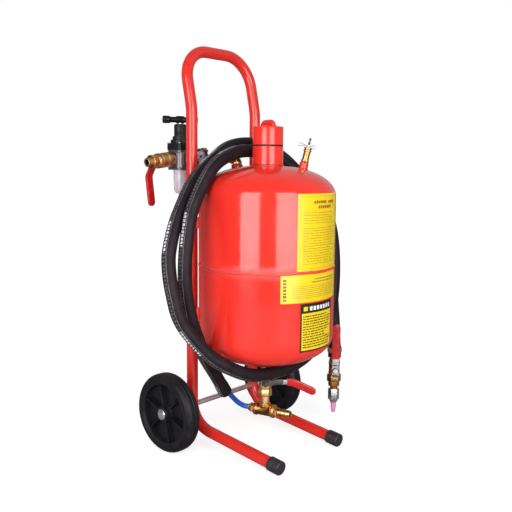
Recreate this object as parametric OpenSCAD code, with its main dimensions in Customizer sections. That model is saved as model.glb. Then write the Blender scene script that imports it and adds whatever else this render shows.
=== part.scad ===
// Portable abrasive blasting pot: a tall pressure tank in a two-wheeled tube frame, with an air
// inlet valve, regulator and gauge, an abrasive valve and mixing tee, and a blast hose with nozzle.
// Z is up and the floor is Z = 0. The front is -Y and the wheels are at the back.

/* [Tank] */
// Outside diameter of the tank
tank_d = 300; // [280:1:320]
// Thickness of the tank wall
tank_wall = 3; // [2:0.5:5]
// Height of the lower end of the straight wall above the floor
tank_low_z = 265; // [255:1:275]
// Length of the straight wall
tank_body_h = 301; // [285:1:315]
// Height of each domed end
dome_h = 68; // [62:1:72]
// Height of the welded seam above the lower end of the straight wall
seam_rise = 151; // [140:1:160]
// Height that the seam bead stands out of the wall
seam_bead = 1.5; // [0.5:0.1:3]

/* [Filler] */
// Outside diameter of the filler neck
neck_d = 67; // [60:0.5:74]
// Height of the filler neck above the top of the dome
neck_h = 40; // [30:1:50]
// Bore of the filler neck
neck_bore_d = 50; // [40:1:52]
// Diameter of the threaded spigot of the neck
spigot_d = 58; // [55:0.5:59]
// Length of the threaded spigot
spigot_h = 30; // [20:1:32]
// Thickness of the sealing ring under the cap
gasket_t = 3; // [2:0.5:5]
// Height of the screw cap
cap_h = 39; // [36:1:48]
// Thickness of the top of the screw cap
cap_top_t = 5; // [4:0.5:6]
// Diameter of the bent rod on the cap
cap_rod_d = 9.5; // [7:0.5:11]
// Distance between the two legs of the bent rod
cap_rod_span = 40; // [34:1:46]
// Height of the rod's centre line above the cap
cap_rod_rise = 10; // [9:0.5:14]

/* [Frame] */
// Outside diameter of the frame tube
tube_d = 25.4; // [22:0.1:28]
// Wall of the frame tube
tube_wall = 1.5; // [1:0.1:2.5]
// Distance between the centre lines of the two uprights
frame_gauge = 204; // [196:1:214]
// Gap between each upright and the tank, which the brackets fill
bracket_reach = 4; // [3:0.5:8]
// Width of a bracket
bracket_w = 14; // [8:1:18]
// Height of a bracket
bracket_h = 24; // [14:1:40]
// Height of the lower pair of brackets
bracket_low_z = 301; // [285:1:330]
// Height of the upper pair of brackets
bracket_high_z = 506; // [480:1:530]
// Bend radius at the foot of each upright
foot_bend_r = 60; // [50:1:70]
// Fall of each foot bar towards the front, in degrees
foot_fall = 6; // [4:0.5:8]
// Distance from the tank axis forward to the middle of the foot caps
foot_reach = 128; // [115:1:134]
// Height where the handle starts to lean back
lean_z = 755; // [730:1:780]
// Lean of the handle, in degrees
lean_a = 12; // [6:1:16]
// Bend radius where the handle leans back
lean_r = 120; // [80:1:160]
// Height of the handle bar above the floor
handle_z = 884; // [860:1:920]
// Bend radius of the two top corners
handle_bend_r = 70; // [50:1:80]

/* [Foot caps] */
// Outside diameter of a foot cap
foot_cap_d = 30.4; // [29:0.1:34]
// Length of a foot cap
foot_cap_l = 31; // [26:1:36]
// Depth of tube inside a foot cap
foot_cap_depth = 26; // [16:1:27]
// Rounding of a foot cap's edge
foot_cap_round = 3; // [1:0.5:4]

/* [Wheels] */
// Diameter of a wheel
wheel_d = 176; // [165:1:185]
// Width of a tyre
tyre_w = 38; // [32:1:44]
// Diameter of the rim inside the tyre
rim_d = 140; // [130:1:145]
// Thickness of the moulded rim and ribs
rim_wall = 5; // [3:0.5:7]
// Width of the moulded rim
rim_w = 32; // [28:1:36]
// Diameter of the wheel's boss
hub_d = 34; // [30:1:40]
// Length of the wheel's boss
hub_l = 40; // [36:1:46]
// Diameter of the axle
axle_d = 12; // [10:0.5:14]
// Number of ribs in a wheel
rib_count = 6; // [4:1:8]
// Length of the spacer tube between each upright and the wheel's boss
spacer_l = 40; // [34:1:46]
// Length of axle past the wheel's boss
axle_end = 3; // [2:0.5:5]
// Diameter of the push cap on the axle end
push_cap_d = 25; // [22:0.5:30]

/* [Air line] */
// Distance from the tank axis back to the air connection on the dome
air_port_y = 92; // [86:1:98]
// Distance from the tank axis back to the regulator
regulator_y = 200; // [190:1:206]
// Distance from the left upright's middle line in to the regulator's
regulator_inset = 27; // [26:0.5:30]
// Outside diameter of the air pipe
air_pipe_d = 17; // [14:0.5:19]
// Bore of the air pipe and its fittings
air_bore_d = 9; // [6:0.5:10]
// Outside diameter of the elbows and the tee
air_elbow_d = 22; // [20:0.5:24]
// Diameter of the welded collar under the front elbow
air_collar_d = 26; // [24:0.5:30]
// Height of the front elbow's centre above the top of the dome
air_rise = 12; // [11:0.5:13]

/* [Regulator] */
// Width of the square regulator body
reg_w = 44; // [40:1:46]
// Height of the regulator body
reg_h = 45; // [42:1:52]
// Height of the air line above the bottom of the body
reg_port_rise = 25; // [20:1:28]
// Height of the square flange of the bonnet
reg_flange_h = 15; // [10:1:18]
// Diameter of the bonnet's lower step
bonnet_low_d = 44; // [38:1:45]
// Diameter of the bonnet's middle step
bonnet_mid_d = 35; // [32:1:37]
// Diameter of the bonnet's upper tower
bonnet_top_d = 28; // [26:1:31]
// Height of the whole bonnet above the flange
bonnet_h = 43; // [38:1:50]
// Diameter of the adjusting screw
screw_d = 8; // [6:0.5:10]
// Half length of the T-handle
tee_half = 40; // [32:1:46]
// Diameter of the T-handle's bar
tee_bar_d = 13; // [10:0.5:14]
// Diameter of the knobs on the T-handle
tee_knob_d = 17; // [14:0.5:20]
// Length of each knob
tee_knob_l = 16; // [14:1:20]
// Turn of the T-handle from the X axis, in degrees
tee_turn = -32; // [-60:1:0]
// Diameter of the filter bowl
bowl_d = 32; // [28:1:36]
// Length of the filter bowl
bowl_l = 54; // [44:1:60]
// Wall of the filter bowl
bowl_wall = 2.5; // [1.5:0.5:3.5]

/* [Gauge] */
// Diameter of the gauge case
gauge_d = 37; // [34:0.5:38]
// Depth of the gauge case
gauge_t = 22; // [18:1:26]
// Thickness of the gauge's glass
glass_t = 1.5; // [1:0.1:2.5]
// Length of the gauge's stem
gauge_stem_l = 20; // [16:1:22]

/* [Inlet valve] */
// Length of the inlet valve along the air line
inlet_l = 77; // [72:1:84]
// Diameter of the inlet valve's barrel
inlet_barrel_d = 33.5; // [31:0.5:36]
// Size of the inlet valve's hexagon end over its corners
inlet_hex_d = 34; // [30:0.5:36]
// Bore of the inlet valve
inlet_bore_d = 14; // [10:0.5:15]
// Mean diameter of the inlet's male thread
inlet_thread_d = 19.8; // [18:0.1:21]
// Length of the inlet lever from its stem
inlet_lever_l = 106; // [80:1:112]
// Width of the inlet lever
inlet_lever_w = 14; // [11:0.5:17]

/* [Abrasive valve] */
// Height of the abrasive valve's ball above the floor
sand_ball_z = 155; // [153:0.5:157]
// Diameter of the abrasive valve's body
sand_body_d = 29; // [27:0.5:30]
// Bore of the abrasive valve
sand_bore_d = 13; // [10:0.5:14]
// Distance from the valve's axis to its lever
sand_lever_out = 40; // [38:0.5:44]
// Length of the abrasive valve's lever from its stem
sand_lever_l = 110; // [96:1:120]
// Width of the abrasive valve's lever
sand_lever_w = 11; // [9:0.5:12]
// Outside diameter of the welded outlet boss
outlet_d = 32; // [28:0.5:34]

/* [Mixing tee] */
// Height of the mixing tee's axis above the floor
tee_z = 81; // [76:1:84]
// Turn of the mixing tee from the X axis, in degrees
tee_head = -76; // [-86:1:-66]
// Outside diameter of the mixing tee
tee_d = 30; // [26:0.5:33]
// Distance from the tee's centre to its rear end
tee_back = 26; // [22:1:30]
// Distance from the tee's centre to its front end
tee_front = 26; // [22:1:30]
// Outside diameter of the barbed tail
barb_d = 18; // [15:0.5:19]
// Length of the barbed tail with its hexagon
barb_l = 38; // [32:1:44]
// Bore of the barbed tail
barb_bore_d = 11; // [8:0.5:12]

/* [Hoses] */
// Outside diameter of the blast hose
blast_hose_d = 32; // [28:0.5:33]
// Outside diameter of the air hose
air_hose_d = 12; // [10:0.5:13]

/* [Blast nozzle] */
// Diameter of the nozzle valve's widest part
nozzle_body_d = 33; // [30:0.5:36]
// Bore of the nozzle valve
nozzle_bore_d = 13; // [10:0.5:14]
// Distance from the nozzle valve's axis to its lever
nozzle_lever_out = 26; // [24:0.5:30]
// Length of the nozzle valve's lever from its stem
nozzle_lever_l = 119; // [100:1:126]
// Width of the nozzle valve's lever
nozzle_lever_w = 17; // [13:0.5:19]
// Size of the nozzle holder over its corners
holder_d = 28; // [26:0.5:32]
// Height of the nozzle holder
holder_h = 34; // [28:1:38]
// Outside diameter of the ceramic nozzle at its root
ceramic_d = 14; // [12:0.5:16]
// Length of ceramic nozzle outside the holder
ceramic_l = 27; // [22:1:34]
// Bore of the ceramic nozzle
ceramic_bore_d = 3; // [2:0.5:5]

/* [Relief valve] */
// Distance from the tank axis to the relief valve
relief_reach = 77; // [70:1:84]
// Direction of the relief valve from the tank axis, in degrees
relief_head = -47.6; // [-60:0.1:-36]
// Diameter of the relief valve's body
relief_d = 17; // [14:0.5:19]
// Length of the relief valve's body
relief_l = 33; // [28:1:38]
// Diameter of the pull ring
relief_ring_d = 16; // [13:0.5:20]

/* [Hidden] */
$fn = 64;
EPS = 0.01;
dome_power = 2.2;
dome_steps = 22;
fit_clear = 0.05;      // running fit on a radius
body_clear = 0.3;      // free gap between moving bodies
decal_t = 0.35;
decal_glue = 0.15;
decal_gap = 3;         // decals end clear of the seam bead
neck_thread_clear = 0.3;
relief_bore_d = 6;
relief_collar_h = 14;
relief_stem_d = 5;
relief_wire = 2.6;
cotter_d = 2.4;
cotter_out = 6;
cotter_eye_x = 9.5;
cotter_eye_r = 4;
cotter_leg_d = 1.6;
cotter_leg_l = 18;
cotter_fork = 9;
elbow_leg = 12;
air_leg = 16;
fitting_l = 10;
gauge_rise = 5;        // gauge above the air line
gauge_side = 8.5;       // gauge towards the middle of the machine from the regulator
gauge_bore_d = 6;
dial_depth = 7;
needle_r = 1.5;
bonnet_step = 8;
bonnet_over = 1;
drain_r = 3;
nut_t = 5;
inlet_hex_l = 15;
inlet_thread_l = 11;
inlet_root = 3;
inlet_stem_at = 44;
inlet_grip_from = 38;
crank_slope = 1.2;
stem_head = -137.9;    // direction of the stems of the abrasive and nozzle valves
sand_bend = 62;
sand_droop = 25;
sand_grip_from = 50;
nut_l = 15;
holder_seat = 12;
cap_rod_turn = 78;
stem_d = 8;
plate_t = 2.5;
grip_t = 2.5;

tank_r = tank_d / 2;
tube_r = tube_d / 2;
tank_high_z = tank_low_z + tank_body_h;
dome_top_z = tank_high_z + dome_h;
tank_bottom_z = tank_low_z - dome_h;
seam_z = tank_low_z + seam_rise;
neck_top_z = dome_top_z + neck_h;
cap_z = neck_top_z + gasket_t;
cap_top_z = cap_z + cap_h;

frame_half = frame_gauge / 2;
regulator_x = frame_half - regulator_inset;
upright_y = sqrt(pow(tank_r + bracket_reach + tube_r, 2) - pow(frame_half, 2));
foot_cap_r = foot_cap_d / 2;
foot_bend_a = 90 - foot_fall;
bend_y = upright_y - foot_bend_r;
foot_cap_z = (foot_cap_r - foot_cap_round) * cos(foot_fall)
    + (foot_cap_l / 2 - foot_cap_round) * sin(foot_fall) + foot_cap_round;
foot_top_y = bend_y + foot_bend_r * cos(foot_bend_a);
foot_top_z = foot_cap_z + (foot_top_y + foot_reach) * tan(foot_fall);
bend_z = foot_top_z + foot_bend_r * sin(foot_bend_a);
foot_l = (foot_top_y + foot_reach) / cos(foot_fall) + foot_cap_l / 2 - (foot_cap_l - foot_cap_depth);
handle_start_z = lean_z - lean_r * tan(lean_a / 2);
lean_run = (handle_z - lean_z) / cos(lean_a);

bracket_root = 2;
bracket_wrap = 2.5;
spacer_d = axle_d + 7;

wheel_r = wheel_d / 2;
axle_y = wheel_r < bend_z
    ? bend_y + sqrt(pow(foot_bend_r, 2) - pow(bend_z - wheel_r, 2))
    : upright_y;
hub_in_x = frame_half + tube_r + spacer_l;
wheel_mid_x = hub_in_x + hub_l / 2;
axle_half = hub_in_x + hub_l + axle_end;

plug_h = 5;
air_z = dome_top_z + air_rise;
reg_bottom_z = air_z - reg_port_rise;
reg_top_z = reg_bottom_z + reg_h;
reg_roof = 10;
filter_drop = bowl_l * 0.55;
baffle_t = 3;
bowl_round = 7;
drain_l = 8;
drain_stroke = 2.5;
flange_top_z = reg_top_z + reg_flange_h;
bonnet_top_z = flange_top_z + bonnet_h;
tee_rise = 10;
tee_hub_l = 18;
screw_sunk = 30;
screw_flange_t = 1;
tee_bar_z = bonnet_top_z + tee_rise;
inlet_x = -(regulator_x + reg_w / 2);
inlet_droop = 7;
inlet_tuck = 3;
inlet_lever_out = 20;
inlet_crank = 17;
inlet_rear_y = regulator_y + inlet_lever_out + inlet_crank + plate_t + grip_t;
gauge_back_y = regulator_y - reg_w / 2 - gauge_stem_l;
gauge_front_y = gauge_back_y - gauge_t;

// How far each decal runs round the tank, in degrees from the right, and past the straight wall
upper_decal_a = [-114.5, -61.7];
middle_decal_a = [-127.7, -62.7];
lower_decal_a = [-110.8, -71.5];
decal_over = 11;
decal_under = 15;
decal_root = 8;
middle_decal_h = 58;

// The origin is midway between the front of the tank and the back of the inlet lever
axis_y = (tank_r + decal_t - inlet_rear_y) / 2;

outlet_rise = 11;
outlet_bottom_z = tank_bottom_z - outlet_rise;
sand_top_z = sand_ball_z + 18;
sand_bottom_z = sand_ball_z - 40;
sand_hex_h = 17;
tee_branch_z = tee_z + 17;

nozzle_x = 224;
nozzle_y = -30;
hose_end_z = 166;
clamp_up = 12;
clamp_w = 13;
clamp_t = 1.5;
clamp_ear_t = 10;
clamp_ear_l = 12;
nozzle_ball_z = 138;
nozzle_neck_z = 86;
nozzle_neck_d = 18;
nozzle_neck_h = 6;
nozzle_hex_up = 18;
nozzle_hex_h = 18;
holder_foot = 8;
holder_z = nozzle_neck_z - holder_h;
barb_hex_l = 8;
barb_count = 3;
barb_step = 1.5;

// Middle line of the blast hose, from its free tail round the tank to the nozzle valve
blast_route = [
    [-50, 79, 118], [-97, 63, 172], [-144, 45, 222], [-177, 33, 269], [-200, 28, 315],
    [-215, 26, 367], [-220, 25, 422], [-212, 26, 487], [-191, 28, 548], [-135, 39, 622],
    [-71, 49, 654], [0, 56, 665], [79, 50, 654], [148, 24, 612], [187, -6, 551],
    [207, -22, 489], [211, -32, 408], [199, -38, 317], [171, -39, 247], [124, -36, 203],
    [58, -38, 183], [-19, -42, 181], [-86, -40, 189], [-144, -31, 214], [-193, -14, 250],
    [-229, 2, 299], [-250, 20, 371], [-254, 34, 440], [-224, 56, 524], [-159, 79, 602],
    [-88, 86, 648], [-25, 89, 674], [45, 90, 682], [114, 87, 669], [178, 72, 628],
    [221, 45, 560], [238, 20, 480], [234, 0, 400], [228, -16, 320], [224, -27, 245],
    [224, -30, 200], [224, -30, 166]
];
// Middle line of the air hose, from the rear tee down behind the tank to the mixing tee
air_route = [
    [0, 200, 620], [0, 200, 596], [-3, 198, 566], [-8, 194, 530], [-14, 189, 490],
    [-20, 184, 450], [-26, 180, 410], [-30, 177, 370], [-34, 174, 330], [-37, 171, 290],
    [-38, 168, 254], [-36, 164, 220], [-31, 158, 188], [-24, 148, 158], [-16, 135, 131],
    [-9, 119, 106], [-7, 99, 92], [-10, 75, 83], [-13, 52, 81], [-10, 40, 81]
];

module placed() {
    translate([0, axis_y, 0]) children();
}

// ---- tank ----

function dome_r(t, r) = r * pow(cos(t), 2 / dome_power);
function dome_up(t, h) = h * pow(sin(t), 2 / dome_power);
function dome(r, h, z, way) =
    [for (i = [0:dome_steps]) let (t = 90 * i / dome_steps) [dome_r(t, r), z + way * dome_up(t, h)]];
function back(list) = [for (i = [len(list) - 1:-1:0]) list[i]];
function dome_z(r) = tank_high_z + dome_h * pow(1 - pow(r / tank_r, dome_power), 1 / dome_power);
function dome_lean(r) = atan((dome_z(r - 1) - dome_z(r + 1)) / 2);

module tank_outside(grow = 0) {
    r = tank_r + grow;
    h = dome_h + grow;
    rotate_extrude($fn = 96)
        polygon(concat(back(dome(r, h, tank_low_z, -1)), dome(r, h, tank_high_z, 1)));
}

module shell(z, way) {
    rotate_extrude($fn = 96)
        polygon(concat(
            [[tank_r - tank_wall, seam_z], [tank_r, seam_z]],
            dome(tank_r, dome_h, z, way),
            back(dome(tank_r - tank_wall, dome_h - tank_wall, z, way))
        ));
}

module at_relief() {
    rotate([0, 0, relief_head])
        translate([relief_reach, 0, dome_z(relief_reach)])
            rotate([0, dome_lean(relief_reach), 0]) children();
}

module tank_shell_upper() {
    color("red") placed() difference() {
        shell(tank_high_z, 1);
        translate([0, 0, tank_high_z]) cylinder(d = neck_bore_d, h = dome_h + 1);
        translate([0, air_port_y, tank_high_z]) cylinder(d = air_bore_d, h = dome_h + 1);
        at_relief() translate([0, 0, -20]) cylinder(d = relief_bore_d, h = 40);
    }
}

module tank_shell_lower() {
    color("red") placed() difference() {
        shell(tank_low_z, -1);
        translate([0, 0, tank_bottom_z - 1]) cylinder(d = sand_bore_d, h = dome_h);
    }
}

module tank_weld_seam() {
    color("red") placed() rotate_extrude($fn = 96)
        polygon([
            [tank_r, seam_z - 3], [tank_r + seam_bead * 0.7, seam_z - 2], [tank_r + seam_bead, seam_z],
            [tank_r + seam_bead * 0.7, seam_z + 2], [tank_r, seam_z + 3]
        ]);
}

module decal(low, high, span) {
    difference() {
        rotate([0, 0, span[0]]) rotate_extrude(angle = span[1] - span[0], $fn = 96)
            polygon(concat(
                [[tank_r - decal_root, high], [tank_r - decal_root, low]],
                decal_edge(low, high)
            ));
        tank_outside(decal_glue);
    }
}

function wall_at(z) = z > tank_high_z
    ? tank_r * pow(1 - pow((z - tank_high_z) / dome_h, dome_power), 1 / dome_power)
    : z < tank_low_z ? tank_r * pow(1 - pow((tank_low_z - z) / dome_h, dome_power), 1 / dome_power)
    : tank_r;
function decal_edge(low, high) =
    [for (i = [0:12]) let (z = low + (high - low) * i / 12) [wall_at(z) + decal_t, z]];

module decals() {
    color("yellow") placed() {
        decal(seam_z + decal_gap, tank_high_z + decal_over, upper_decal_a);
        decal(seam_z - decal_gap - middle_decal_h, seam_z - decal_gap, middle_decal_a);
        decal(tank_low_z - decal_under, seam_z - 2 * decal_gap - middle_decal_h, lower_decal_a);
    }
}

// ---- filler ----

module filler_neck() {
    color("red") placed() difference() {
        union() {
            translate([0, 0, tank_high_z]) cylinder(d = neck_d, h = neck_top_z - tank_high_z);
            translate([0, 0, neck_top_z - EPS]) cylinder(d = spigot_d, h = spigot_h + EPS);
        }
        translate([0, 0, tank_high_z - 1]) cylinder(d = neck_bore_d, h = neck_top_z + spigot_h);
        tank_outside();
    }
}

module neck_gasket() {
    color("black") placed() translate([0, 0, neck_top_z]) difference() {
        cylinder(d = neck_d, h = gasket_t);
        translate([0, 0, -1]) cylinder(d = spigot_d + 2 * neck_thread_clear, h = gasket_t + 2);
    }
}

module filler_cap() {
    color("red") placed() translate([0, 0, cap_z]) difference() {
        cylinder(d = neck_d, h = cap_h);
        translate([0, 0, -1]) cylinder(d = spigot_d + 2 * neck_thread_clear, h = cap_h - cap_top_t + 1);
    }
}

module cap_handle() {
    color("red") placed() translate([0, 0, cap_top_z]) rotate([0, 0, cap_rod_turn]) {
        for (side = [0, 1])
            mirror([side, 0, 0])
                translate([cap_rod_span / 2 - cap_rod_rise, 0, 0]) rotate([90, 0, 0])
                    rotate_extrude(angle = 90) translate([cap_rod_rise, 0]) circle(d = cap_rod_d);
        translate([cap_rod_rise - cap_rod_span / 2, 0, cap_rod_rise]) rotate([0, 90, 0])
            cylinder(d = cap_rod_d, h = cap_rod_span - 2 * cap_rod_rise);
    }
}

// ---- frame ----

module tube_ring() {
    difference() {
        circle(r = tube_r);
        circle(r = tube_r - tube_wall);
    }
}

module upright(side) {
    color("red") placed() translate([side * frame_half, upright_y, bend_z])
        linear_extrude(handle_start_z - bend_z) tube_ring();
}

module foot_bar(side) {
    color("red") placed() translate([side * frame_half, 0, 0]) difference() {
        union() {
            translate([0, bend_y, bend_z]) rotate([-90, 0, 90])
                rotate_extrude(angle = foot_bend_a) translate([foot_bend_r, 0]) tube_ring();
            translate([0, foot_top_y, foot_top_z]) rotate([90 + foot_fall, 0, 0])
                linear_extrude(foot_l) tube_ring();
        }
        translate([0, axle_y, wheel_r]) rotate([0, 90, 0])
            cylinder(d = axle_d, h = tube_d * 2, center = true);
    }
}

module handle() {
    color("red") placed() {
        for (side = [0, 1]) mirror([side, 0, 0]) {
            translate([frame_half, upright_y + lean_r, handle_start_z]) rotate([90, 0, -90])
                rotate_extrude(angle = lean_a) translate([lean_r, 0]) tube_ring();
            translate([0, upright_y, lean_z]) rotate([-lean_a, 0, 0]) {
                translate([frame_half, 0, lean_z - handle_start_z])
                    linear_extrude(lean_run - handle_bend_r - lean_z + handle_start_z) tube_ring();
                translate([frame_half - handle_bend_r, 0, lean_run - handle_bend_r]) rotate([90, 0, 0])
                    rotate_extrude(angle = 90) translate([handle_bend_r, 0]) tube_ring();
            }
        }
        translate([0, upright_y, lean_z]) rotate([-lean_a, 0, 0])
            translate([handle_bend_r - frame_half, 0, lean_run]) rotate([0, 90, 0])
                linear_extrude(2 * (frame_half - handle_bend_r)) tube_ring();
    }
}

module bracket(side, z) {
    head = atan2(upright_y, side * frame_half);
    translate([0, 0, z - bracket_h / 2]) difference() {
        rotate([0, 0, head]) translate([tank_r - bracket_root, -bracket_w / 2, 0])
            cube([bracket_root + bracket_reach + bracket_wrap, bracket_w, bracket_h]);
        translate([0, 0, -1]) cylinder(r = tank_r, h = bracket_h + 2, $fn = 360);
        translate([side * frame_half, upright_y, -1])
            cylinder(r = tube_r, h = bracket_h + 2, $fn = 180);
    }
}

module brackets() {
    color("red") placed() for (side = [-1, 1], z = [bracket_low_z, bracket_high_z]) bracket(side, z);
}

module foot_cap(side) {
    r = foot_cap_r;
    f = foot_cap_round;
    color("dimgray") placed() translate([side * frame_half, -foot_reach, foot_cap_z])
        rotate([90 + foot_fall, 0, 0]) translate([0, 0, -foot_cap_l / 2]) difference() {
            rotate_extrude() polygon(concat(
                [[0, 0], [r - 1, 0], [r, 1]],
                [for (a = [0:15:90]) [r - f + f * cos(a), foot_cap_l - f + f * sin(a)]],
                [[0, foot_cap_l]]
            ));
            translate([0, 0, -1]) cylinder(r = tube_r, h = foot_cap_depth + 1);
        }
}

// ---- wheels ----

module at_axle(x) {
    placed() translate([x, axle_y, wheel_r]) rotate([0, 90, 0]) children();
}

// The axle with the spacer tubes that are pressed on outside the uprights
module axle() {
    color("silver") {
        at_axle(0) cylinder(d = axle_d, h = 2 * axle_half, center = true);
        for (side = [-1, 1])
            at_axle(side * (frame_half + tube_r + spacer_l / 2))
                cylinder(d = spacer_d, h = spacer_l - 2 * body_clear, center = true);
    }
}

module push_cap(side) {
    at_axle(side * axle_half) mirror([0, 0, side < 0 ? 1 : 0]) difference() {
        union() {
            translate([0, 0, body_clear - axle_end]) cylinder(d = push_cap_d, h = axle_end - body_clear);
            cylinder(d = push_cap_d * 0.7, h = 1);
        }
        translate([0, 0, -axle_end]) cylinder(d = axle_d, h = axle_end);
    }
}

module push_caps() {
    color("silver") for (side = [-1, 1]) push_cap(side);
}

module wheel_tyre(side) {
    r = wheel_r;
    in = rim_d / 2;
    h = tyre_w / 2;
    half = [[in, h - 3], [in + 5, h], [r - 9, h - 1], [r - 3, h - 5], [r, h - 11], [r, 2.5], [r - 1.5, 1.5]];
    color("black") at_axle(side * wheel_mid_x)
        rotate_extrude($fn = 96) polygon(concat(half, back([for (p = half) [p[0], -p[1]]])));
}

module wheel_hub(side) {
    in = rim_d / 2 - rim_wall;
    color("dimgray") at_axle(side * wheel_mid_x) difference() {
        union() {
            difference() {
                cylinder(d = rim_d, h = rim_w, center = true, $fn = 96);
                cylinder(r = in, h = rim_w + 2, center = true, $fn = 96);
            }
            cylinder(r = in + EPS, h = rim_wall, center = true, $fn = 96);
            cylinder(d = hub_d, h = hub_l, center = true);
            for (i = [0:rib_count - 1])
                rotate([0, 0, 360 * i / rib_count]) translate([0, -rim_wall / 4, -rim_w * 0.4])
                    cube([in + EPS, rim_wall / 2, rim_w * 0.8]);
        }
        cylinder(d = axle_d + 2 * fit_clear, h = hub_l + 2, center = true);
    }
}

// ---- air line ----

module at_port(y) {
    placed() translate([0, y, air_z]) children();
}

module air_collar() {
    difference() {
        translate([0, air_port_y, tank_high_z]) difference() {
            cylinder(d = air_collar_d, h = air_z - elbow_leg - tank_high_z);
            translate([0, 0, -1]) cylinder(d = air_bore_d, h = dome_h + air_rise + 2);
        }
        tank_outside();
    }
}

module air_elbow() {
    at_port(air_port_y) difference() {
        union() {
            sphere(d = air_elbow_d);
            translate([0, 0, -elbow_leg]) cylinder(d = air_elbow_d, h = elbow_leg);
            rotate([-90, 0, 0]) cylinder(d = air_elbow_d, h = air_leg);
        }
        sphere(d = air_bore_d);
        translate([0, 0, -elbow_leg - 1]) cylinder(d = air_bore_d, h = elbow_leg + 1);
        rotate([-90, 0, 0]) cylinder(d = air_bore_d, h = air_leg + 1);
    }
}

module air_pipe() {
    at_port(air_port_y + air_leg) rotate([-90, 0, 0]) difference() {
        cylinder(d = air_pipe_d, h = regulator_y - air_port_y - 2 * air_leg);
        translate([0, 0, -1]) cylinder(d = air_bore_d, h = regulator_y);
    }
}

module air_tee() {
    at_port(regulator_y) difference() {
        union() {
            sphere(d = air_elbow_d);
            translate([0, 0, -air_leg]) cylinder(d = air_elbow_d, h = air_leg + air_elbow_d / 2);
            translate([0, 0, air_elbow_d / 2 - EPS]) cylinder(d = air_pipe_d, h = plug_h, $fn = 6);
            rotate([90, 0, 0]) cylinder(d = air_elbow_d, h = air_leg);
            rotate([0, -90, 0]) cylinder(d = air_elbow_d, h = air_leg);
        }
        translate([0, 0, -air_leg - 1]) cylinder(d = air_bore_d, h = air_leg + 1);
        rotate([90, 0, 0]) cylinder(d = air_bore_d, h = air_leg + 1);
        rotate([0, -90, 0]) cylinder(d = air_bore_d, h = air_leg + 1);
        sphere(d = air_bore_d);
    }
}

module air_nipple() {
    at_port(regulator_y) rotate([0, -90, 0]) difference() {
        translate([0, 0, air_leg]) cylinder(d = air_pipe_d, h = regulator_x - reg_w / 2 - air_leg);
        cylinder(d = air_bore_d, h = regulator_x);
    }
}

module air_elbows() {
    color("goldenrod") {
        air_elbow();
        air_tee();
    }
}

module air_pipes() {
    color("silver") {
        air_pipe();
        air_nipple();
    }
}

module air_fitting() {
    color("silver") at_port(regulator_y) translate([0, 0, -air_leg - fitting_l]) difference() {
        cylinder(d = air_pipe_d, h = fitting_l);
        translate([0, 0, -1]) cylinder(d = air_hose_d / 2, h = fitting_l + 2);
    }
}

// ---- regulator ----

module at_regulator(z) {
    placed() translate([-regulator_x, regulator_y, z]) children();
}

module regulator_body() {
    color("slategray") at_regulator(reg_bottom_z) difference() {
        translate([-reg_w / 2, -reg_w / 2, 0]) cube([reg_w, reg_w, reg_h]);
        translate([0, 0, reg_port_rise]) rotate([0, 90, 0]) {
            translate([0, 0, -reg_w / 2 - 1]) cylinder(d = inlet_bore_d, h = reg_w / 2 + 1);
            cylinder(d = air_bore_d, h = reg_w);
        }
        translate([gauge_side, 0, reg_port_rise + gauge_rise]) rotate([90, 0, 0])
            cylinder(d = gauge_bore_d, h = reg_w);
        translate([0, 0, -1]) cylinder(d = bowl_d - 2 * bowl_wall - 4, h = reg_h - reg_roof + 1);
    }
}

module regulator_bonnet() {
    color("black") at_regulator(reg_top_z) difference() {
        union() {
            translate([-reg_w / 2 - bonnet_over, -reg_w / 2 - bonnet_over, 0])
                cube([reg_w + 2 * bonnet_over, reg_w + 2 * bonnet_over, reg_flange_h]);
            cylinder(d = bonnet_low_d, h = reg_flange_h + bonnet_step);
            cylinder(d = bonnet_mid_d, h = reg_flange_h + 2 * bonnet_step);
            cylinder(d = bonnet_top_d, h = reg_flange_h + bonnet_h);
        }
        translate([0, 0, -1]) cylinder(d = bonnet_top_d - 6, h = reg_flange_h + bonnet_h - 7);
        cylinder(d = screw_d + 2 * fit_clear, h = reg_flange_h + bonnet_h + 1);
    }
}

module adjusting_screw() {
    color("silver") {
        at_regulator(bonnet_top_z - screw_sunk) cylinder(d = screw_d, h = tee_rise + screw_sunk);
        at_regulator(bonnet_top_z + body_clear) cylinder(d = screw_d + 6, h = screw_flange_t);
    }
}

module tee_handle() {
    color("black") at_regulator(tee_bar_z) difference() {
        rotate([0, 0, tee_turn]) {
            rotate([0, 90, 0]) cylinder(d = tee_bar_d, h = 2 * tee_half, center = true);
            for (side = [-1, 1])
                translate([side * (tee_half - tee_knob_l / 2), 0, 0]) rotate([0, 90, 0])
                    cylinder(d = tee_knob_d, h = tee_knob_l, center = true);
            rotate([0, 90, 0]) cylinder(d = tee_knob_d, h = tee_hub_l, center = true);
        }
        translate([0, 0, -screw_sunk]) cylinder(d = screw_d, h = screw_sunk);
    }
}

module filter_bowl() {
    r = bowl_d / 2;
    color("lightgray") at_regulator(reg_bottom_z - bowl_l) rotate_extrude() polygon([
        [drain_r + fit_clear, 0], [r * 0.6, 0], [r * 0.84, bowl_round], [r, bowl_l],
        [r - bowl_wall, bowl_l], [r * 0.84 - bowl_wall, bowl_round + 1.5], [r * 0.6 - 1, bowl_wall],
        [drain_r + fit_clear, bowl_wall]
    ]);
}

module filter_tube() {
    at_regulator(reg_bottom_z - filter_drop) difference() {
        cylinder(d = bowl_d * 0.55, h = filter_drop + reg_h - reg_roof - 5);
        translate([0, 0, 2]) cylinder(d = bowl_d * 0.35, h = bowl_l + reg_h);
    }
}

module filter_baffle() {
    at_regulator(reg_bottom_z - filter_drop - baffle_t)
        cylinder(d = 2 * (bowl_d * 0.42 - bowl_wall), h = baffle_t);
}

module filter_element() {
    color("white") {
        filter_tube();
        filter_baffle();
    }
}

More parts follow.
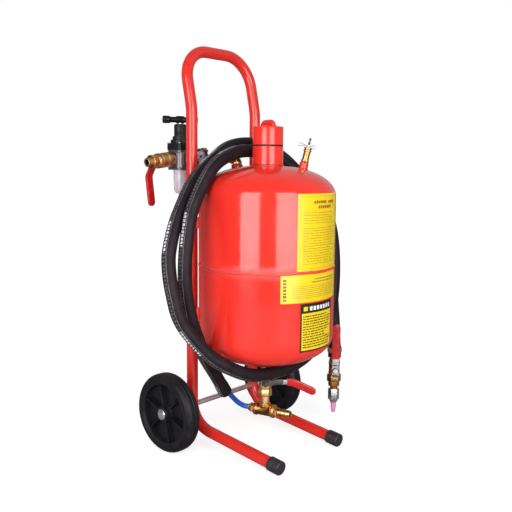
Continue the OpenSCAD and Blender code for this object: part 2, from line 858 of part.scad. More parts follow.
module bowl_drain() {
    color("black") at_regulator(reg_bottom_z - bowl_l) {
        translate([0, 0, -drain_l]) cylinder(r = drain_r + 2, h = drain_l - drain_stroke);
        translate([0, 0, -drain_l]) cylinder(r = drain_r, h = drain_l + bowl_wall + 1);
    }
}

// ---- gauge ----

module at_gauge(y) {
    placed() translate([gauge_side - regulator_x, y, air_z + gauge_rise]) rotate([90, 0, 0]) children();
}

module gauge_stem() {
    color("goldenrod") placed()
        translate([gauge_side - regulator_x, regulator_y - reg_w / 2, air_z + gauge_rise]) rotate([90, 0, 0])
            difference() {
                union() {
                    cylinder(d = gauge_bore_d + 4, h = gauge_stem_l);
                    translate([0, 0, 6]) cylinder(d = gauge_bore_d + 9, h = 8, $fn = 6);
                }
                translate([0, 0, -1]) cylinder(d = gauge_bore_d, h = gauge_stem_l);
            }
}

module gauge_case() {
    color("black") at_gauge(gauge_back_y) difference() {
        cylinder(d = gauge_d, h = gauge_t);
        translate([0, 0, gauge_t - dial_depth - 1]) cylinder(d = gauge_d - 4, h = dial_depth + 2);
        translate([0, 0, 3]) cylinder(d = gauge_d - 12, h = gauge_t);
    }
}

module gauge_dial() {
    color("white") at_gauge(gauge_front_y + dial_depth + 1) difference() {
        cylinder(d = gauge_d - 4, h = 1);
        translate([0, 0, -1]) cylinder(r = needle_r + fit_clear, h = 3);
    }
}

module gauge_needle() {
    color("black") at_gauge(gauge_front_y + dial_depth + 1) {
        translate([0, 0, -3]) cylinder(r = needle_r, h = 5.5);
        translate([0, 0, 1.5]) difference() {
            union() {
                cylinder(r = needle_r + 1.2, h = 0.8);
                rotate([0, 0, 225]) translate([-4, -0.6, 0]) cube([gauge_d / 2 - 2, 1.2, 0.8]);
            }
            translate([0, 0, -1]) cylinder(r = needle_r, h = 3);
        }
    }
}

module gauge_glass() {
    color("lavender") at_gauge(gauge_front_y + glass_t) cylinder(d = gauge_d - 4, h = glass_t);
}

// ---- ball valves: the flow runs along Z, the stem along +X, the ball is at the origin ----

module valve_cut(low, high, bore_d, ball_r, side_r) {
    translate([0, 0, low - 1]) cylinder(d = bore_d, h = high - low + 2);
    sphere(r = ball_r + body_clear);
    rotate([0, 90, 0]) cylinder(d = stem_d + 2 * fit_clear, h = side_r + 20);
}

// Lever plate in the plane x = 0, from the stem at the origin along +Z, drawn as a side profile
// with a crank outward, and w wide
module lever_plate(out, crank, l, w) {
    difference() {
        translate([out, w / 2, 0]) rotate([90, 0, 0]) linear_extrude(w) polygon([
            [0, -w * 0.6], [0, 14], [crank, 14 + crank * crank_slope], [crank, l - grip_t],
            [crank + plate_t, l - grip_t], [crank + plate_t, 13 + crank * crank_slope],
            [plate_t, 12.4], [plate_t, -w * 0.6]
        ]);
        translate([out - 1, 0, 0]) rotate([0, 90, 0]) cylinder(d = stem_d, h = plate_t + 2);
    }
}

module lever_grip(out, crank, from, l, w) {
    g = grip_t;
    difference() {
        translate([out + crank - g, 0, from]) {
            translate([0, -w / 2 - g, 0]) cube([plate_t + 2 * g, w + 2 * g, l - from - w / 2 - g]);
            translate([0, 0, l - from - w / 2 - g]) rotate([0, 90, 0])
                cylinder(d = w + 2 * g, h = plate_t + 2 * g);
        }
        translate([out + crank, -w / 2, 0]) cube([plate_t, w, l - grip_t]);
    }
}

module stem_nut(out) {
    translate([out + plate_t, 0, 0]) rotate([0, 90, 0]) difference() {
        cylinder(d = stem_d + 6, h = nut_t, $fn = 6);
        translate([0, 0, -1]) cylinder(d = stem_d, h = nut_t + 2);
    }
}

// Inlet valve: flow along X and a little down, stem towards +Y, lever hanging down
module at_inlet() {
    placed() translate([inlet_x, regulator_y, air_z]) rotate([0, -inlet_droop, 0])
        translate([-inlet_stem_at, 0, 0]) children();
}

module inlet_frame() {
    at_inlet() rotate([0, -90, 0]) rotate([0, 0, 90]) children();
}

module inlet_valve_body() {
    high = inlet_l - inlet_stem_at;
    hex = high - inlet_thread_l - inlet_hex_l;
    color("goldenrod") difference() {
        inlet_frame() difference() {
            union() {
                translate([0, 0, -inlet_stem_at - inlet_tuck])
                    cylinder(d = inlet_barrel_d - 8, h = inlet_root + inlet_tuck + 1);
                translate([0, 0, inlet_root - inlet_stem_at])
                    cylinder(d = inlet_barrel_d, h = hex + inlet_stem_at - inlet_root);
                translate([0, 0, hex - EPS]) cylinder(d = inlet_hex_d, h = inlet_hex_l + EPS, $fn = 6);
                translate([0, 0, hex]) cylinder(d = inlet_thread_d, h = inlet_hex_l + inlet_thread_l);
                rotate([0, 90, 0]) cylinder(d = stem_d + 10, h = inlet_lever_out - 1);
            }
            valve_cut(-inlet_stem_at - inlet_tuck, high, inlet_bore_d, inlet_bore_d * 0.78, inlet_lever_out);
        }
        at_regulator(reg_bottom_z) translate([-reg_w / 2, -reg_w / 2, 0]) cube([reg_w, reg_w, reg_h]);
    }
}

module inlet_ball() {
    color("silver") inlet_frame() difference() {
        union() {
            stem_nut(inlet_lever_out);
            sphere(r = inlet_bore_d * 0.78);
            rotate([0, 90, 0]) cylinder(d = stem_d, h = inlet_lever_out + plate_t + nut_t);
        }
        rotate([90, 0, 0]) cylinder(d = inlet_bore_d, h = inlet_bore_d * 2, center = true);
    }
}

module inlet_lever() {
    color("silver") at_inlet() rotate([180, 0, 0]) rotate([0, 0, -90])
        lever_plate(inlet_lever_out, inlet_crank, inlet_lever_l, inlet_lever_w);
}

module inlet_grip() {
    color("red") at_inlet() rotate([180, 0, 0]) rotate([0, 0, -90])
        lever_grip(inlet_lever_out, inlet_crank, inlet_grip_from, inlet_lever_l, inlet_lever_w);
}

// Abrasive valve: flow down, stem towards the front left, lever pointing front right
module sand_frame() {
    placed() translate([0, 0, sand_ball_z]) rotate([0, 0, stem_head]) children();
}

module tank_outlet() {
    difference() {
        translate([0, 0, outlet_bottom_z]) difference() {
            cylinder(d = outlet_d, h = dome_h);
            translate([0, 0, -1]) cylinder(d = sand_bore_d, h = dome_h + 2);
        }
        tank_outside();
    }
}

// The valve with the nipple that screws it to the tank
module sand_valve_body() {
    top = sand_top_z - sand_ball_z;
    low = sand_bottom_z - sand_ball_z;
    branch = tee_branch_z - sand_ball_z;
    outlet = outlet_bottom_z - sand_ball_z;
    color("goldenrod") sand_frame() difference() {
        union() {
            translate([0, 0, branch]) cylinder(d = sand_body_d * 0.66, h = low - branch + 1);
            translate([0, 0, low]) cylinder(d = sand_body_d + 2, h = sand_hex_h, $fn = 6);
            translate([0, 0, low + sand_hex_h - 1]) cylinder(d = sand_body_d, h = top - low - sand_hex_h + 1);
            translate([0, 0, top - 1]) cylinder(d = sand_bore_d + 8, h = outlet - top + 1);
            rotate([0, 90, 0]) cylinder(d = stem_d + 6, h = sand_lever_out - 12);
            rotate([0, 90, 0]) cylinder(d = stem_d + 3, h = sand_lever_out - 1);
        }
        valve_cut(branch, outlet, sand_bore_d, sand_bore_d * 0.78, sand_lever_out);
    }
}

module sand_ball() {
    color("silver") sand_frame() difference() {
        union() {
            stem_nut(sand_lever_out);
            sphere(r = sand_bore_d * 0.78);
            rotate([0, 90, 0]) cylinder(d = stem_d, h = sand_lever_out + plate_t + nut_t);
        }
        rotate([90, 0, 0]) cylinder(d = sand_bore_d, h = sand_bore_d * 2, center = true);
    }
}

// The lever's outline in its own plane, along +X, with a bend down at sand_bend
module sand_outline(from, w) {
    if (from < sand_bend)
        translate([from, -w / 2]) square([sand_bend - from, w]);
    translate([sand_bend, 0]) {
        circle(d = w);
        rotate(-sand_droop) {
            translate([0, -w / 2]) square([sand_lever_l - sand_bend - w / 2, w]);
            translate([sand_lever_l - sand_bend - w / 2, 0]) circle(d = w);
        }
    }
}

module sand_plane(out) {
    sand_frame() translate([out, 0, 0]) rotate([90, 0, 90]) children();
}

module sand_lever() {
    color("silver") sand_plane(sand_lever_out) linear_extrude(plate_t) difference() {
        union() {
            circle(d = sand_lever_w + 5);
            sand_outline(0, sand_lever_w);
        }
        circle(d = stem_d);
    }
}

module sand_grip() {
    color("red") sand_plane(sand_lever_out - grip_t) difference() {
        linear_extrude(plate_t + 2 * grip_t) sand_outline(sand_grip_from, sand_lever_w + 2 * grip_t);
        translate([0, 0, grip_t]) linear_extrude(plate_t) sand_outline(0, sand_lever_w);
    }
}

// ---- mixing tee ----

module tee_frame() {
    placed() translate([0, 0, tee_z]) rotate([0, 0, tee_head]) children();
}

module tee_body() {
    tee_frame() difference() {
        union() {
            translate([-tee_back, 0, 0]) rotate([0, 90, 0]) cylinder(d = tee_d, h = tee_back + tee_front);
            cylinder(d = tee_d * 0.86, h = tee_branch_z - tee_z);
        }
        translate([-tee_back - 1, 0, 0]) rotate([0, 90, 0])
            cylinder(d = barb_bore_d, h = tee_back + tee_front + 2);
        cylinder(d = barb_bore_d, h = tee_d);
    }
}

module air_hose_nut() {
    tee_frame() translate([-tee_back - nut_l, 0, 0]) rotate([0, 90, 0]) difference() {
        cylinder(d = tee_d * 0.76, h = nut_l + EPS, $fn = 6);
        translate([0, 0, -1]) cylinder(d = air_hose_d / 2, h = nut_l + 2);
    }
}

module mixing_tee() {
    color("goldenrod") {
        tee_body();
        air_hose_nut();
    }
}

module barbed_tail() {
    r = barb_d / 2;
    step = (barb_l - barb_hex_l) / barb_count;
    color("goldenrod") tee_frame() translate([tee_front, 0, 0]) rotate([0, 90, 0]) difference() {
        union() {
            cylinder(r = r + 3, h = barb_hex_l, $fn = 6);
            rotate_extrude() polygon(concat(
                [[0, 0], [r - barb_step, 0]],
                [for (i = [0:barb_count - 1], k = [0:1]) [r - k * barb_step, barb_hex_l + (i + k) * step]],
                [[0, barb_l]]
            ));
        }
        translate([0, 0, -1]) cylinder(d = barb_bore_d, h = barb_l + 2);
    }
}

// The bosses that are welded to the tank
module tank_bosses() {
    color("red") placed() {
        tank_outlet();
        air_collar();
        relief_collar();
    }
}

// ---- blast nozzle ----

module at_nozzle(z) {
    placed() translate([nozzle_x, nozzle_y, z]) rotate([0, 0, stem_head]) children();
}

module nozzle_valve_body() {
    low = nozzle_neck_z - nozzle_ball_z;
    top = hose_end_z - nozzle_ball_z;
    color("goldenrod") at_nozzle(nozzle_ball_z) difference() {
        union() {
            translate([0, 0, low]) cylinder(d = nozzle_neck_d, h = nozzle_neck_h + 1);
            translate([0, 0, low + nozzle_neck_h])
                cylinder(d = nozzle_body_d * 0.84, h = top - low - nozzle_neck_h);
            translate([0, 0, low + nozzle_hex_up]) cylinder(d = nozzle_body_d, h = nozzle_hex_h, $fn = 6);
            rotate([0, 90, 0]) cylinder(d = stem_d + 8, h = nozzle_lever_out - 1);
        }
        valve_cut(low, top, nozzle_bore_d, nozzle_bore_d * 0.78, nozzle_lever_out);
    }
}

module nozzle_ball() {
    color("silver") at_nozzle(nozzle_ball_z) difference() {
        union() {
            stem_nut(nozzle_lever_out);
            sphere(r = nozzle_bore_d * 0.78);
            rotate([0, 90, 0]) cylinder(d = stem_d, h = nozzle_lever_out + plate_t + nut_t);
        }
        cylinder(d = nozzle_bore_d, h = nozzle_bore_d * 2, center = true);
    }
}

module nozzle_lever() {
    color("silver") at_nozzle(nozzle_ball_z) lever_plate(nozzle_lever_out, 0, nozzle_lever_l, nozzle_lever_w);
}

module nozzle_grip() {
    color("red") at_nozzle(nozzle_ball_z)
        lever_grip(nozzle_lever_out, 0, 30, nozzle_lever_l, nozzle_lever_w);
}

module nozzle_holder() {
    color("silver") at_nozzle(holder_z) difference() {
        union() {
            translate([0, 0, holder_foot - 2])
                cylinder(d = holder_d, h = holder_h - holder_foot + 2, $fn = 6);
            rotate_extrude() polygon([
                [0, 0], [holder_d * 0.34, 0], [holder_d * 0.42, holder_foot], [0, holder_foot]
            ]);
        }
        translate([0, 0, -1]) cylinder(d = ceramic_d, h = holder_seat + 1);
        translate([0, 0, -1]) cylinder(d = nozzle_bore_d - 3, h = holder_h + 2);
    }
}

module ceramic_nozzle() {
    r = ceramic_d / 2;
    color("pink") at_nozzle(holder_z + holder_seat) difference() {
        rotate_extrude() polygon([
            [0, 0], [r, 0], [r, -holder_seat], [r * 0.66, -holder_seat - ceramic_l + 2],
            [r * 0.58, -holder_seat - ceramic_l], [0, -holder_seat - ceramic_l]
        ]);
        translate([0, 0, -holder_seat - ceramic_l - 1])
            cylinder(d = ceramic_bore_d, h = holder_seat + ceramic_l + 2);
    }
}

module hose_clamp() {
    r = blast_hose_d / 2;
    color("peru") at_nozzle(hose_end_z + clamp_up) {
        difference() {
            cylinder(r = r + clamp_t, h = clamp_w);
            translate([0, 0, -1]) cylinder(r = r, h = clamp_w + 2);
        }
        translate([-clamp_ear_t / 2, r + 0.5, 0]) cube([clamp_ear_t, clamp_ear_l, clamp_w]);
    }
}

// ---- relief valve ----

module relief_collar() {
    difference() {
        at_relief() translate([0, 0, -9]) difference() {
            cylinder(d = relief_d + 5, h = 9 + relief_collar_h);
            translate([0, 0, -1]) cylinder(d = relief_bore_d, h = 11 + relief_collar_h);
        }
        tank_outside();
    }
}

module relief_body() {
    color("goldenrod") placed() at_relief() translate([0, 0, relief_collar_h]) difference() {
        union() {
            cylinder(d = relief_d, h = relief_l);
            cylinder(d = relief_d + 3, h = 7, $fn = 6);
            translate([0, 0, relief_l - 8]) cylinder(d = relief_d + 4, h = 3);
        }
        translate([0, 0, -1]) cylinder(d = relief_bore_d, h = relief_l - 8);
        translate([0, 0, 8]) cylinder(d = relief_d - 6, h = relief_l - 14);
        cylinder(d = relief_stem_d + 2 * fit_clear, h = relief_l + 1);
    }
}

module relief_stem() {
    z = relief_collar_h + relief_l;
    color("silver") placed() at_relief() difference() {
        union() {
            translate([0, 0, relief_collar_h + 12]) cylinder(d = relief_d - 8, h = 2);
            translate([0, 0, relief_collar_h + 12]) cylinder(d = relief_stem_d, h = relief_l - 4);
            translate([0, 0, z + 7 + relief_ring_d / 2]) rotate([90, 0, 0])
                rotate_extrude() translate([relief_ring_d / 2, 0]) circle(d = relief_wire);
        }
        translate([0, 0, z + 3]) rotate([0, 90, 0]) cylinder(d = cotter_d, h = 20, center = true);
    }
}

// Split pin through the stem, with its eye on one side and its two legs spread on the other
module relief_cotter() {
    color("silver") placed() at_relief() translate([0, 0, relief_collar_h + relief_l + 3]) {
        translate([-cotter_out, 0, 0]) rotate([0, 90, 0])
            cylinder(d = cotter_d, h = cotter_out + cotter_eye_x);
        translate([cotter_eye_x + cotter_eye_r, 0, 0]) rotate([90, 0, 0])
            rotate_extrude() translate([cotter_eye_r, 0]) circle(d = cotter_leg_d);
        for (fork = [-cotter_fork, cotter_fork])
            translate([-cotter_out, 0, 0]) rotate([0, fork - 90, 0])
                cylinder(d = cotter_leg_d, h = cotter_leg_l);
    }
}

// ---- hoses: a ring of points square to the route at each of its points ----

function along(p, i) =
    let (d = p[min(i + 1, len(p) - 1)] - p[max(i - 1, 0)]) d / norm(d);
function square_to(v, t) = let (w = v - (v * t) * t) w / norm(w);
function normals(p, i, n) =
    i == len(p) ? [] : let (m = square_to(n, along(p, i))) concat([m], normals(p, i + 1, m));
function rings(p, r, sides) =
    let (ns = normals(p, 0, [0.3, 1, 0.2]))
    [for (i = [0:len(p) - 1], k = [0:sides - 1])
        let (t = along(p, i), a = 360 * k / sides) p[i] + r * (cos(a) * ns[i] + sin(a) * cross(t, ns[i]))];
function tube_faces(n, sides) = concat(
    [[for (k = [sides - 1:-1:0]) k]],
    [for (i = [0:n - 2], k = [0:sides - 1]) let (a = i * sides + k, b = i * sides + (k + 1) % sides)
        [a, b, b + sides]],
    [for (i = [0:n - 2], k = [0:sides - 1]) let (a = i * sides + k, b = i * sides + (k + 1) % sides)
        [a, b + sides, a + sides]],
    [[for (k = [0:sides - 1]) (n - 1) * sides + k]]
);

module hose(route, r, sides) {
    polyhedron(rings(route, r, sides), tube_faces(len(route), sides));
}

// Least distance between middle lines of stretches that aren't neighbours, at quarter steps
function middle(p) = [for (i = [0:len(p) - 2], k = [0:3]) p[i] + (p[i + 1] - p[i]) * k / 4];
function self_gap(p, skip) = let (m = middle(p))
    min([for (i = [0:len(m) - 1 - skip], j = [i + skip:len(m) - 1]) norm(m[i] - m[j])]);
echo(blast_hose_gap = self_gap(blast_route, 20) - blast_hose_d);

module blast_hose() {
    color("black") placed() hose(blast_route, blast_hose_d / 2, 12);
}

module air_hose() {
    color("royalblue") placed() hose(air_route, air_hose_d / 2, 10);
}

tank_shell_upper();
tank_shell_lower();
tank_weld_seam();
tank_bosses();
decals();
filler_neck();
neck_gasket();
filler_cap();
cap_handle();
upright(-1);  // upright_left
upright(1);  // upright_right
foot_bar(-1);  // foot_left
foot_bar(1);  // foot_right
handle();
brackets();
foot_cap(-1);  // foot_cap_left
foot_cap(1);  // foot_cap_right
axle();
push_caps();
wheel_tyre(-1);  // tyre_left
wheel_hub(-1);  // hub_left
wheel_tyre(1);  // tyre_right
wheel_hub(1);  // hub_right
air_elbows();
air_pipes();
air_fitting();
regulator_body();
regulator_bonnet();
adjusting_screw();
tee_handle();
filter_bowl();
filter_element();
bowl_drain();
gauge_stem();
gauge_case();
gauge_dial();
gauge_needle();
gauge_glass();
inlet_valve_body();
inlet_ball();
inlet_lever();
inlet_grip();
sand_valve_body();
sand_ball();
sand_lever();
sand_grip();
mixing_tee();
barbed_tail();
nozzle_valve_body();
nozzle_ball();
nozzle_lever();
nozzle_grip();
nozzle_holder();
ceramic_nozzle();
hose_clamp();
relief_body();
relief_stem();
relief_cotter();
blast_hose();
air_hose();
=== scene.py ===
from math import atan2, cos, degrees, hypot, pi, radians, sin, sqrt

import bmesh
import bpy
from mathutils import Matrix, Vector


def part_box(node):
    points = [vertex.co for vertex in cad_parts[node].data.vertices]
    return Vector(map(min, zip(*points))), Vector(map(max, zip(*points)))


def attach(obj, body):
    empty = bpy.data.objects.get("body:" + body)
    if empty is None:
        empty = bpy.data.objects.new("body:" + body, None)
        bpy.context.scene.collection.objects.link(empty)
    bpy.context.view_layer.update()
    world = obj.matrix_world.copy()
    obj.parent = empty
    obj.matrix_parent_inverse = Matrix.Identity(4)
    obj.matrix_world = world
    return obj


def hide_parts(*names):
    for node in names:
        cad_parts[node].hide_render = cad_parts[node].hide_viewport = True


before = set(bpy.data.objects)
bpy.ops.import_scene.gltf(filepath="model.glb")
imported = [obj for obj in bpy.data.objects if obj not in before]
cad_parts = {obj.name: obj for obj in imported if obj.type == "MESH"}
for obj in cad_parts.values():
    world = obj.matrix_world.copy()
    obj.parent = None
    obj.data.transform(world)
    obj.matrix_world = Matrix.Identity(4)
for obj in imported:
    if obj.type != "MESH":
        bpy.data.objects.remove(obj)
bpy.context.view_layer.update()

# The scene is written in the CAD model's millimetres, with y measured from the tank's axis.
MM = 0.001
SEAM_LOW, SEAM_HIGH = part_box("tank_weld_seam")
AXIS_Y = (SEAM_LOW.y + SEAM_HIGH.y) / 2
ROOT = "pot_and_frame"
X, Y, Z = Vector((1, 0, 0)), Vector((0, 1, 0)), Vector((0, 0, 1))
STILL = Matrix.Identity(4)


def at(x, y, z):
    """A point in the row frame, in metres, from millimetres about the tank's axis."""
    return Vector((x * MM, y * MM + AXIS_Y, z * MM))


def angles(count):
    return [2 * pi * i / count for i in range(count)]


def heading(angle, length=1, z=0):
    return Vector((length * cos(angle), length * sin(angle), z))


def spin(turn_degrees):
    return Matrix.Rotation(radians(turn_degrees), 4, "Z")


def axes(x, y, z):
    return Matrix((x, y, z)).transposed().to_4x4()


def along_axis(origin, direction):
    """A transform that lays a shape's Z along a direction."""
    z = Vector(direction).normalized()
    x = z.orthogonal().normalized() if abs(z.z) < 0.9 else X
    y = z.cross(x).normalized()
    return Matrix.Translation(Vector(origin)) @ axes(y.cross(z), y, z)


def add_object(name, data):
    made = bpy.data.objects.new(name, data)
    bpy.context.scene.collection.objects.link(made)
    return made


# ---------------------------------------------------------------- camera

IMAGE_PX = 512
FOCAL_PX = 697
SENSOR_MM = 36
CAMERA_AT = (-1150.9, -1009.6, 631.8)
CAMERA_AZIMUTH, CAMERA_PITCH, CAMERA_ROLL = radians(-47.86), radians(7.37), radians(0.535)


def make_camera():
    level_back = heading(CAMERA_AZIMUTH - pi / 2)
    back = level_back * cos(CAMERA_PITCH) + Z * sin(CAMERA_PITCH)
    level = Z.cross(back).normalized()
    right = cos(CAMERA_ROLL) * level + sin(CAMERA_ROLL) * back.cross(level)
    data = bpy.data.cameras.new("camera")
    data.sensor_width = SENSOR_MM
    data.sensor_fit = "HORIZONTAL"
    data.lens = SENSOR_MM * FOCAL_PX / IMAGE_PX
    data.clip_start = 0.05
    camera = add_object("camera", data)
    camera.matrix_world = Matrix.Translation(at(*CAMERA_AT)) @ axes(right, back.cross(right), back)
    bpy.context.scene.camera = camera


# ---------------------------------------------------------------- building meshes

M, SLOT = {}, {}


def circle(radius, z, count, turn=STILL):
    return [turn @ heading(a, radius, z) for a in angles(count)]


class Build:
    """Collects simple shapes, in millimetres in a local frame, and makes one object of them."""

    def __init__(self, origin=(0, 0, 0), z=Z, x=X):
        z, x = Vector(z).normalized(), Vector(x)
        x = (x - z * x.dot(z)).normalized()
        self.place = Matrix.Translation(at(*origin)) @ axes(x, z.cross(x), z)
        self.mesh = bmesh.new()

    def loft(self, rings, loop=False):
        """Joins rings of points, between two end faces or end to end."""
        rows = [[self.mesh.verts.new(self.place @ (Vector(p) * MM)) for p in ring] for ring in rings]
        count = len(rows[0])
        for a, b in zip(rows, rows[1:] + rows[:1] if loop else rows[1:]):
            for i in range(count):
                j = (i + 1) % count
                self.mesh.faces.new([a[i], a[j], b[j], b[i]])
        if not loop:
            self.mesh.faces.new(rows[0][::-1])
            self.mesh.faces.new(rows[-1])
        return self

    def lathe(self, profile, segments=48, turn=STILL):
        """profile is [(radius, z)], from one end to the other; turn maps local points."""
        return self.loft([circle(max(r, 0.01), z, segments, turn) for r, z in profile])

    def pipe(self, profile, segments=48, turn=STILL):
        """A closed profile turned all the way round: a ring or a tube."""
        return self.loft([circle(r, z, segments, turn) for r, z in profile], True)

    def prism(self, outline, low, high, turn=STILL):
        return self.loft([[turn @ Vector((x, y, z)) for x, y in outline] for z in (low, high)])

    def fin(self, start, end, half_start, half_end, low, high, turn=STILL):
        """A plate along X, centred on it, whose half widths at its two ends may differ."""
        outline = [(start, -half_start), (end, -half_end), (end, half_end), (start, half_start)]
        return self.prism(outline, low, high, turn)

    def hexagon(self, across, low, high, turn=STILL):
        """A nut's form, measured over its corners, with its top and bottom corners chamfered."""
        cut = across * 0.05
        steps = ((low, 0.93), (low + cut, 1), (high - cut, 1), (high, 0.93))
        return self.loft([circle(across / 2 * shrink, z, 6, turn) for z, shrink in steps])

    def sweep(self, path, radius, sides=16, loop=False, flat=1.0):
        """A round rod along a path; radius is a number or one value a point."""
        return self.loft(tube_rings([Vector(p) for p in path], radius, sides, loop, flat), loop)

    def done(self, name, material, node=None, body=ROOT, slot=None, bevel=0.0, sharp=35, segments=2):
        bmesh.ops.recalc_face_normals(self.mesh, faces=self.mesh.faces)
        data = bpy.data.meshes.new(name)
        self.mesh.to_mesh(data)
        self.mesh.free()
        piece = add_piece(name, data, [material], node, body, sharp)
        if bevel:
            modifier = piece.modifiers.new("bevel", "BEVEL")
            modifier.width = bevel * MM
            modifier.segments = segments
            modifier.limit_method = "ANGLE"
            modifier.angle_limit = radians(sharp)
            modifier.harden_normals = True
        return piece


def add_piece(name, data, materials, node, body=ROOT, sharp=35):
    """An object that rides on a body and takes the place of a node, or of several, or of none."""
    data.polygons.foreach_set("use_smooth", [True] * len(data.polygons))
    data.set_sharp_from_angle(angle=radians(sharp))
    for material in materials:
        data.materials.append(M[material])
    piece = add_object(name, data)
    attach(piece, body)
    if node:
        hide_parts(*([node] if isinstance(node, str) else node))
    return piece


def tube_rings(points, radius, sides, loop=False, flat=1.0):
    """Rings of points square to a path, carried along it without twisting."""
    count = len(points)
    rings = []
    normal = None
    for i, point in enumerate(points):
        before = points[i - 1] if (i or loop) else points[0]
        after = points[(i + 1) % count] if (i + 1 < count or loop) else points[-1]
        along = (after - before).normalized()
        if normal is None:
            normal = along.orthogonal().normalized()
        normal = (normal - along * normal.dot(along)).normalized()
        across = along.cross(normal)
        r = radius[i] if isinstance(radius, list) else radius
        rings.append([point + normal * (r * flat * cos(a)) + across * (r * sin(a)) for a in angles(sides)])
    return rings


def smooth_path(points, steps):
    """A Catmull-Rom curve through the points."""
    points = [Vector(p) for p in points]
    padded = points[:1] + points + points[-1:]
    out = []
    for p0, p1, p2, p3 in zip(padded, padded[1:], padded[2:], padded[3:]):
        for t in (k / steps for k in range(steps)):
            out.append(0.5 * (
                2 * p1 + (p2 - p0) * t + (2 * p0 - 5 * p1 + 4 * p2 - p3) * t * t
                + (3 * p1 - p0 - 3 * p2 + p3) * t * t * t
            ))
    return out + [points[-1]]


def walk(points, step):
    """Points about a step apart along a path, each with its distance from the start."""
    out, run = [], 0.0
    for a, b in zip(points, points[1:]):
        length = (b - a).length
        count = max(1, int(length / step))
        out += [(a + (b - a) * k / count, run + length * k / count) for k in range(count)]
        run += length
    return out + [(points[-1], run)]


def round_corners(points, radius=6):
    points = [Vector(p) for p in points]
    out = [points[0]]
    for a, b, c in zip(points, points[1:], points[2:]):
        reach = min(radius, (a - b).length * 0.45, (c - b).length * 0.45)
        start, end = b + (a - b).normalized() * reach, b + (c - b).normalized() * reach
        out += [start * (1 - t) ** 2 + b * 2 * t * (1 - t) + end * t * t for t in (k / 6 for k in range(7))]
    return out + [points[-1]]


def arc_points(centre, a, b, radius, start, end, count):
    """Points on an arc in the plane of a and b, with angles in degrees from a."""
    sweep = (radians(start + (end - start) * i / count) for i in range(count + 1))
    return [Vector(centre) + (Vector(a) * cos(t) + Vector(b) * sin(t)) * radius for t in sweep]


def circle_path(centre, radius, normal=Z, count=48):
    a = normal.orthogonal().normalized()
    b = normal.cross(a)
    return [Vector(centre) + (a * cos(t) + b * sin(t)) * radius for t in angles(count)]


def thread(low, high, pitch, crest, root, drop, last):
    """The crests and roots of a cut thread, as (radius, z), from low to just under high."""
    out, z = [], low
    while z < high:
        out += [(crest, z), (root, min(z + drop, last))]
        z += pitch
    return out


# ---------------------------------------------------------------- materials

class Shader:
    """A Principled material that is put together from small node groups of plain steps."""

    def __init__(self, name, **values):
        self.material = bpy.data.materials.new(name)
        self.material.use_nodes = True
        self.nodes = self.material.node_tree.nodes
        self.link = self.material.node_tree.links.new
        self.bsdf = self.nodes["Principled BSDF"]
        self.normal = None
        for key, value in values.items():
            socket = key.replace("_", " ").title().replace("Ior", "IOR")
            self.bsdf.inputs[socket].default_value = (*value, 1) if isinstance(value, tuple) else value

    def node(self, kind, **values):
        node = self.nodes.new(kind)
        for key, value in values.items():
            if key in node.inputs:
                node.inputs[key].default_value = value
            else:
                setattr(node, key, value)
        return node

    def fill(self, *pairs):
        """Gives each input its value: a number, a colour, or what another node puts out."""
        for socket, value in pairs:
            if isinstance(value, (int, float)):
                socket.default_value = value
            elif isinstance(value, tuple):
                socket.default_value = (*value, 1)
            else:
                self.link(value, socket)

    def place(self, kind="Object"):
        return self.node("ShaderNodeTexCoord").outputs[kind]

    def noise(self, scale, detail=3.0, roughness=0.5, stretch=None):
        node = self.node("ShaderNodeTexNoise", Scale=scale, Detail=detail, Roughness=roughness)
        source = self.place()
        if stretch:
            mapping = self.node("ShaderNodeMapping", Scale=stretch)
            self.link(source, mapping.inputs["Vector"])
            source = mapping.outputs[0]
        self.link(source, node.inputs["Vector"])
        return node.outputs["Fac"]

    def ramp(self, value, *stops):
        """Each stop is (position, grey)."""
        node = self.node("ShaderNodeValToRGB")
        elements = node.color_ramp.elements
        while len(elements) < len(stops):
            elements.new(0.5)
        for element, (position, grey) in zip(elements, stops):
            element.position = position
            element.color = (grey, grey, grey, 1)
        self.link(value, node.inputs["Fac"])
        return node.outputs["Color"]

    def math(self, operation, a, b=0.5):
        node = self.node("ShaderNodeMath", operation=operation)
        self.fill((node.inputs[0], a), (node.inputs[1], b))
        return node.outputs[0]

    def times(self, a, b):
        return self.math("MULTIPLY", a, b)

    def mix(self, factor, a, b):
        node = self.node("ShaderNodeMix", data_type="RGBA")
        self.fill((node.inputs[0], factor), (node.inputs[6], a), (node.inputs[7], b))
        return node.outputs[2]

    def cloudy(self, a, b, noise, low, high):
        """A colour that drifts from a to b as the noise rises from low to high."""
        return self.mix(self.ramp(self.noise(*noise), (low, 0.0), (high, 1.0)), a, b)

    def colour(self, value):
        self.link(value, self.bsdf.inputs["Base Color"])

    def rough(self, noise, low, high):
        """A roughness that drifts from low to high."""
        self.link(self.ramp(self.noise(*noise), (0.3, low), (0.7, high)), self.bsdf.inputs["Roughness"])

    def bump(self, value, distance, strength=1.0):
        """Adds a height in metres, from a noise's values or from what a node puts out."""
        node = self.node("ShaderNodeBump", Strength=strength, Distance=distance)
        self.link(self.noise(*value) if isinstance(value, tuple) else value, node.inputs["Height"])
        if self.normal:
            self.link(self.normal, node.inputs["Normal"])
        self.normal = node.outputs["Normal"]
        self.link(self.normal, self.bsdf.inputs["Normal"])


def paint(name, colour, dark, roughness=0.22):
    """Glossy powder coat: orange peel, slightly uneven gloss and faint cloudiness."""
    s = Shader(name, roughness=roughness, specular_ior_level=0.32, coat_weight=0.2, coat_roughness=0.08)
    s.colour(s.cloudy(colour, dark, (9, 4), 0.35, 0.75))
    s.rough((40, 3), roughness * 0.85, roughness * 1.25)
    s.bump((260, 2), 0.00006, 0.5)
    s.bump((14, 2), 0.0009, 0.25)
    return s.material


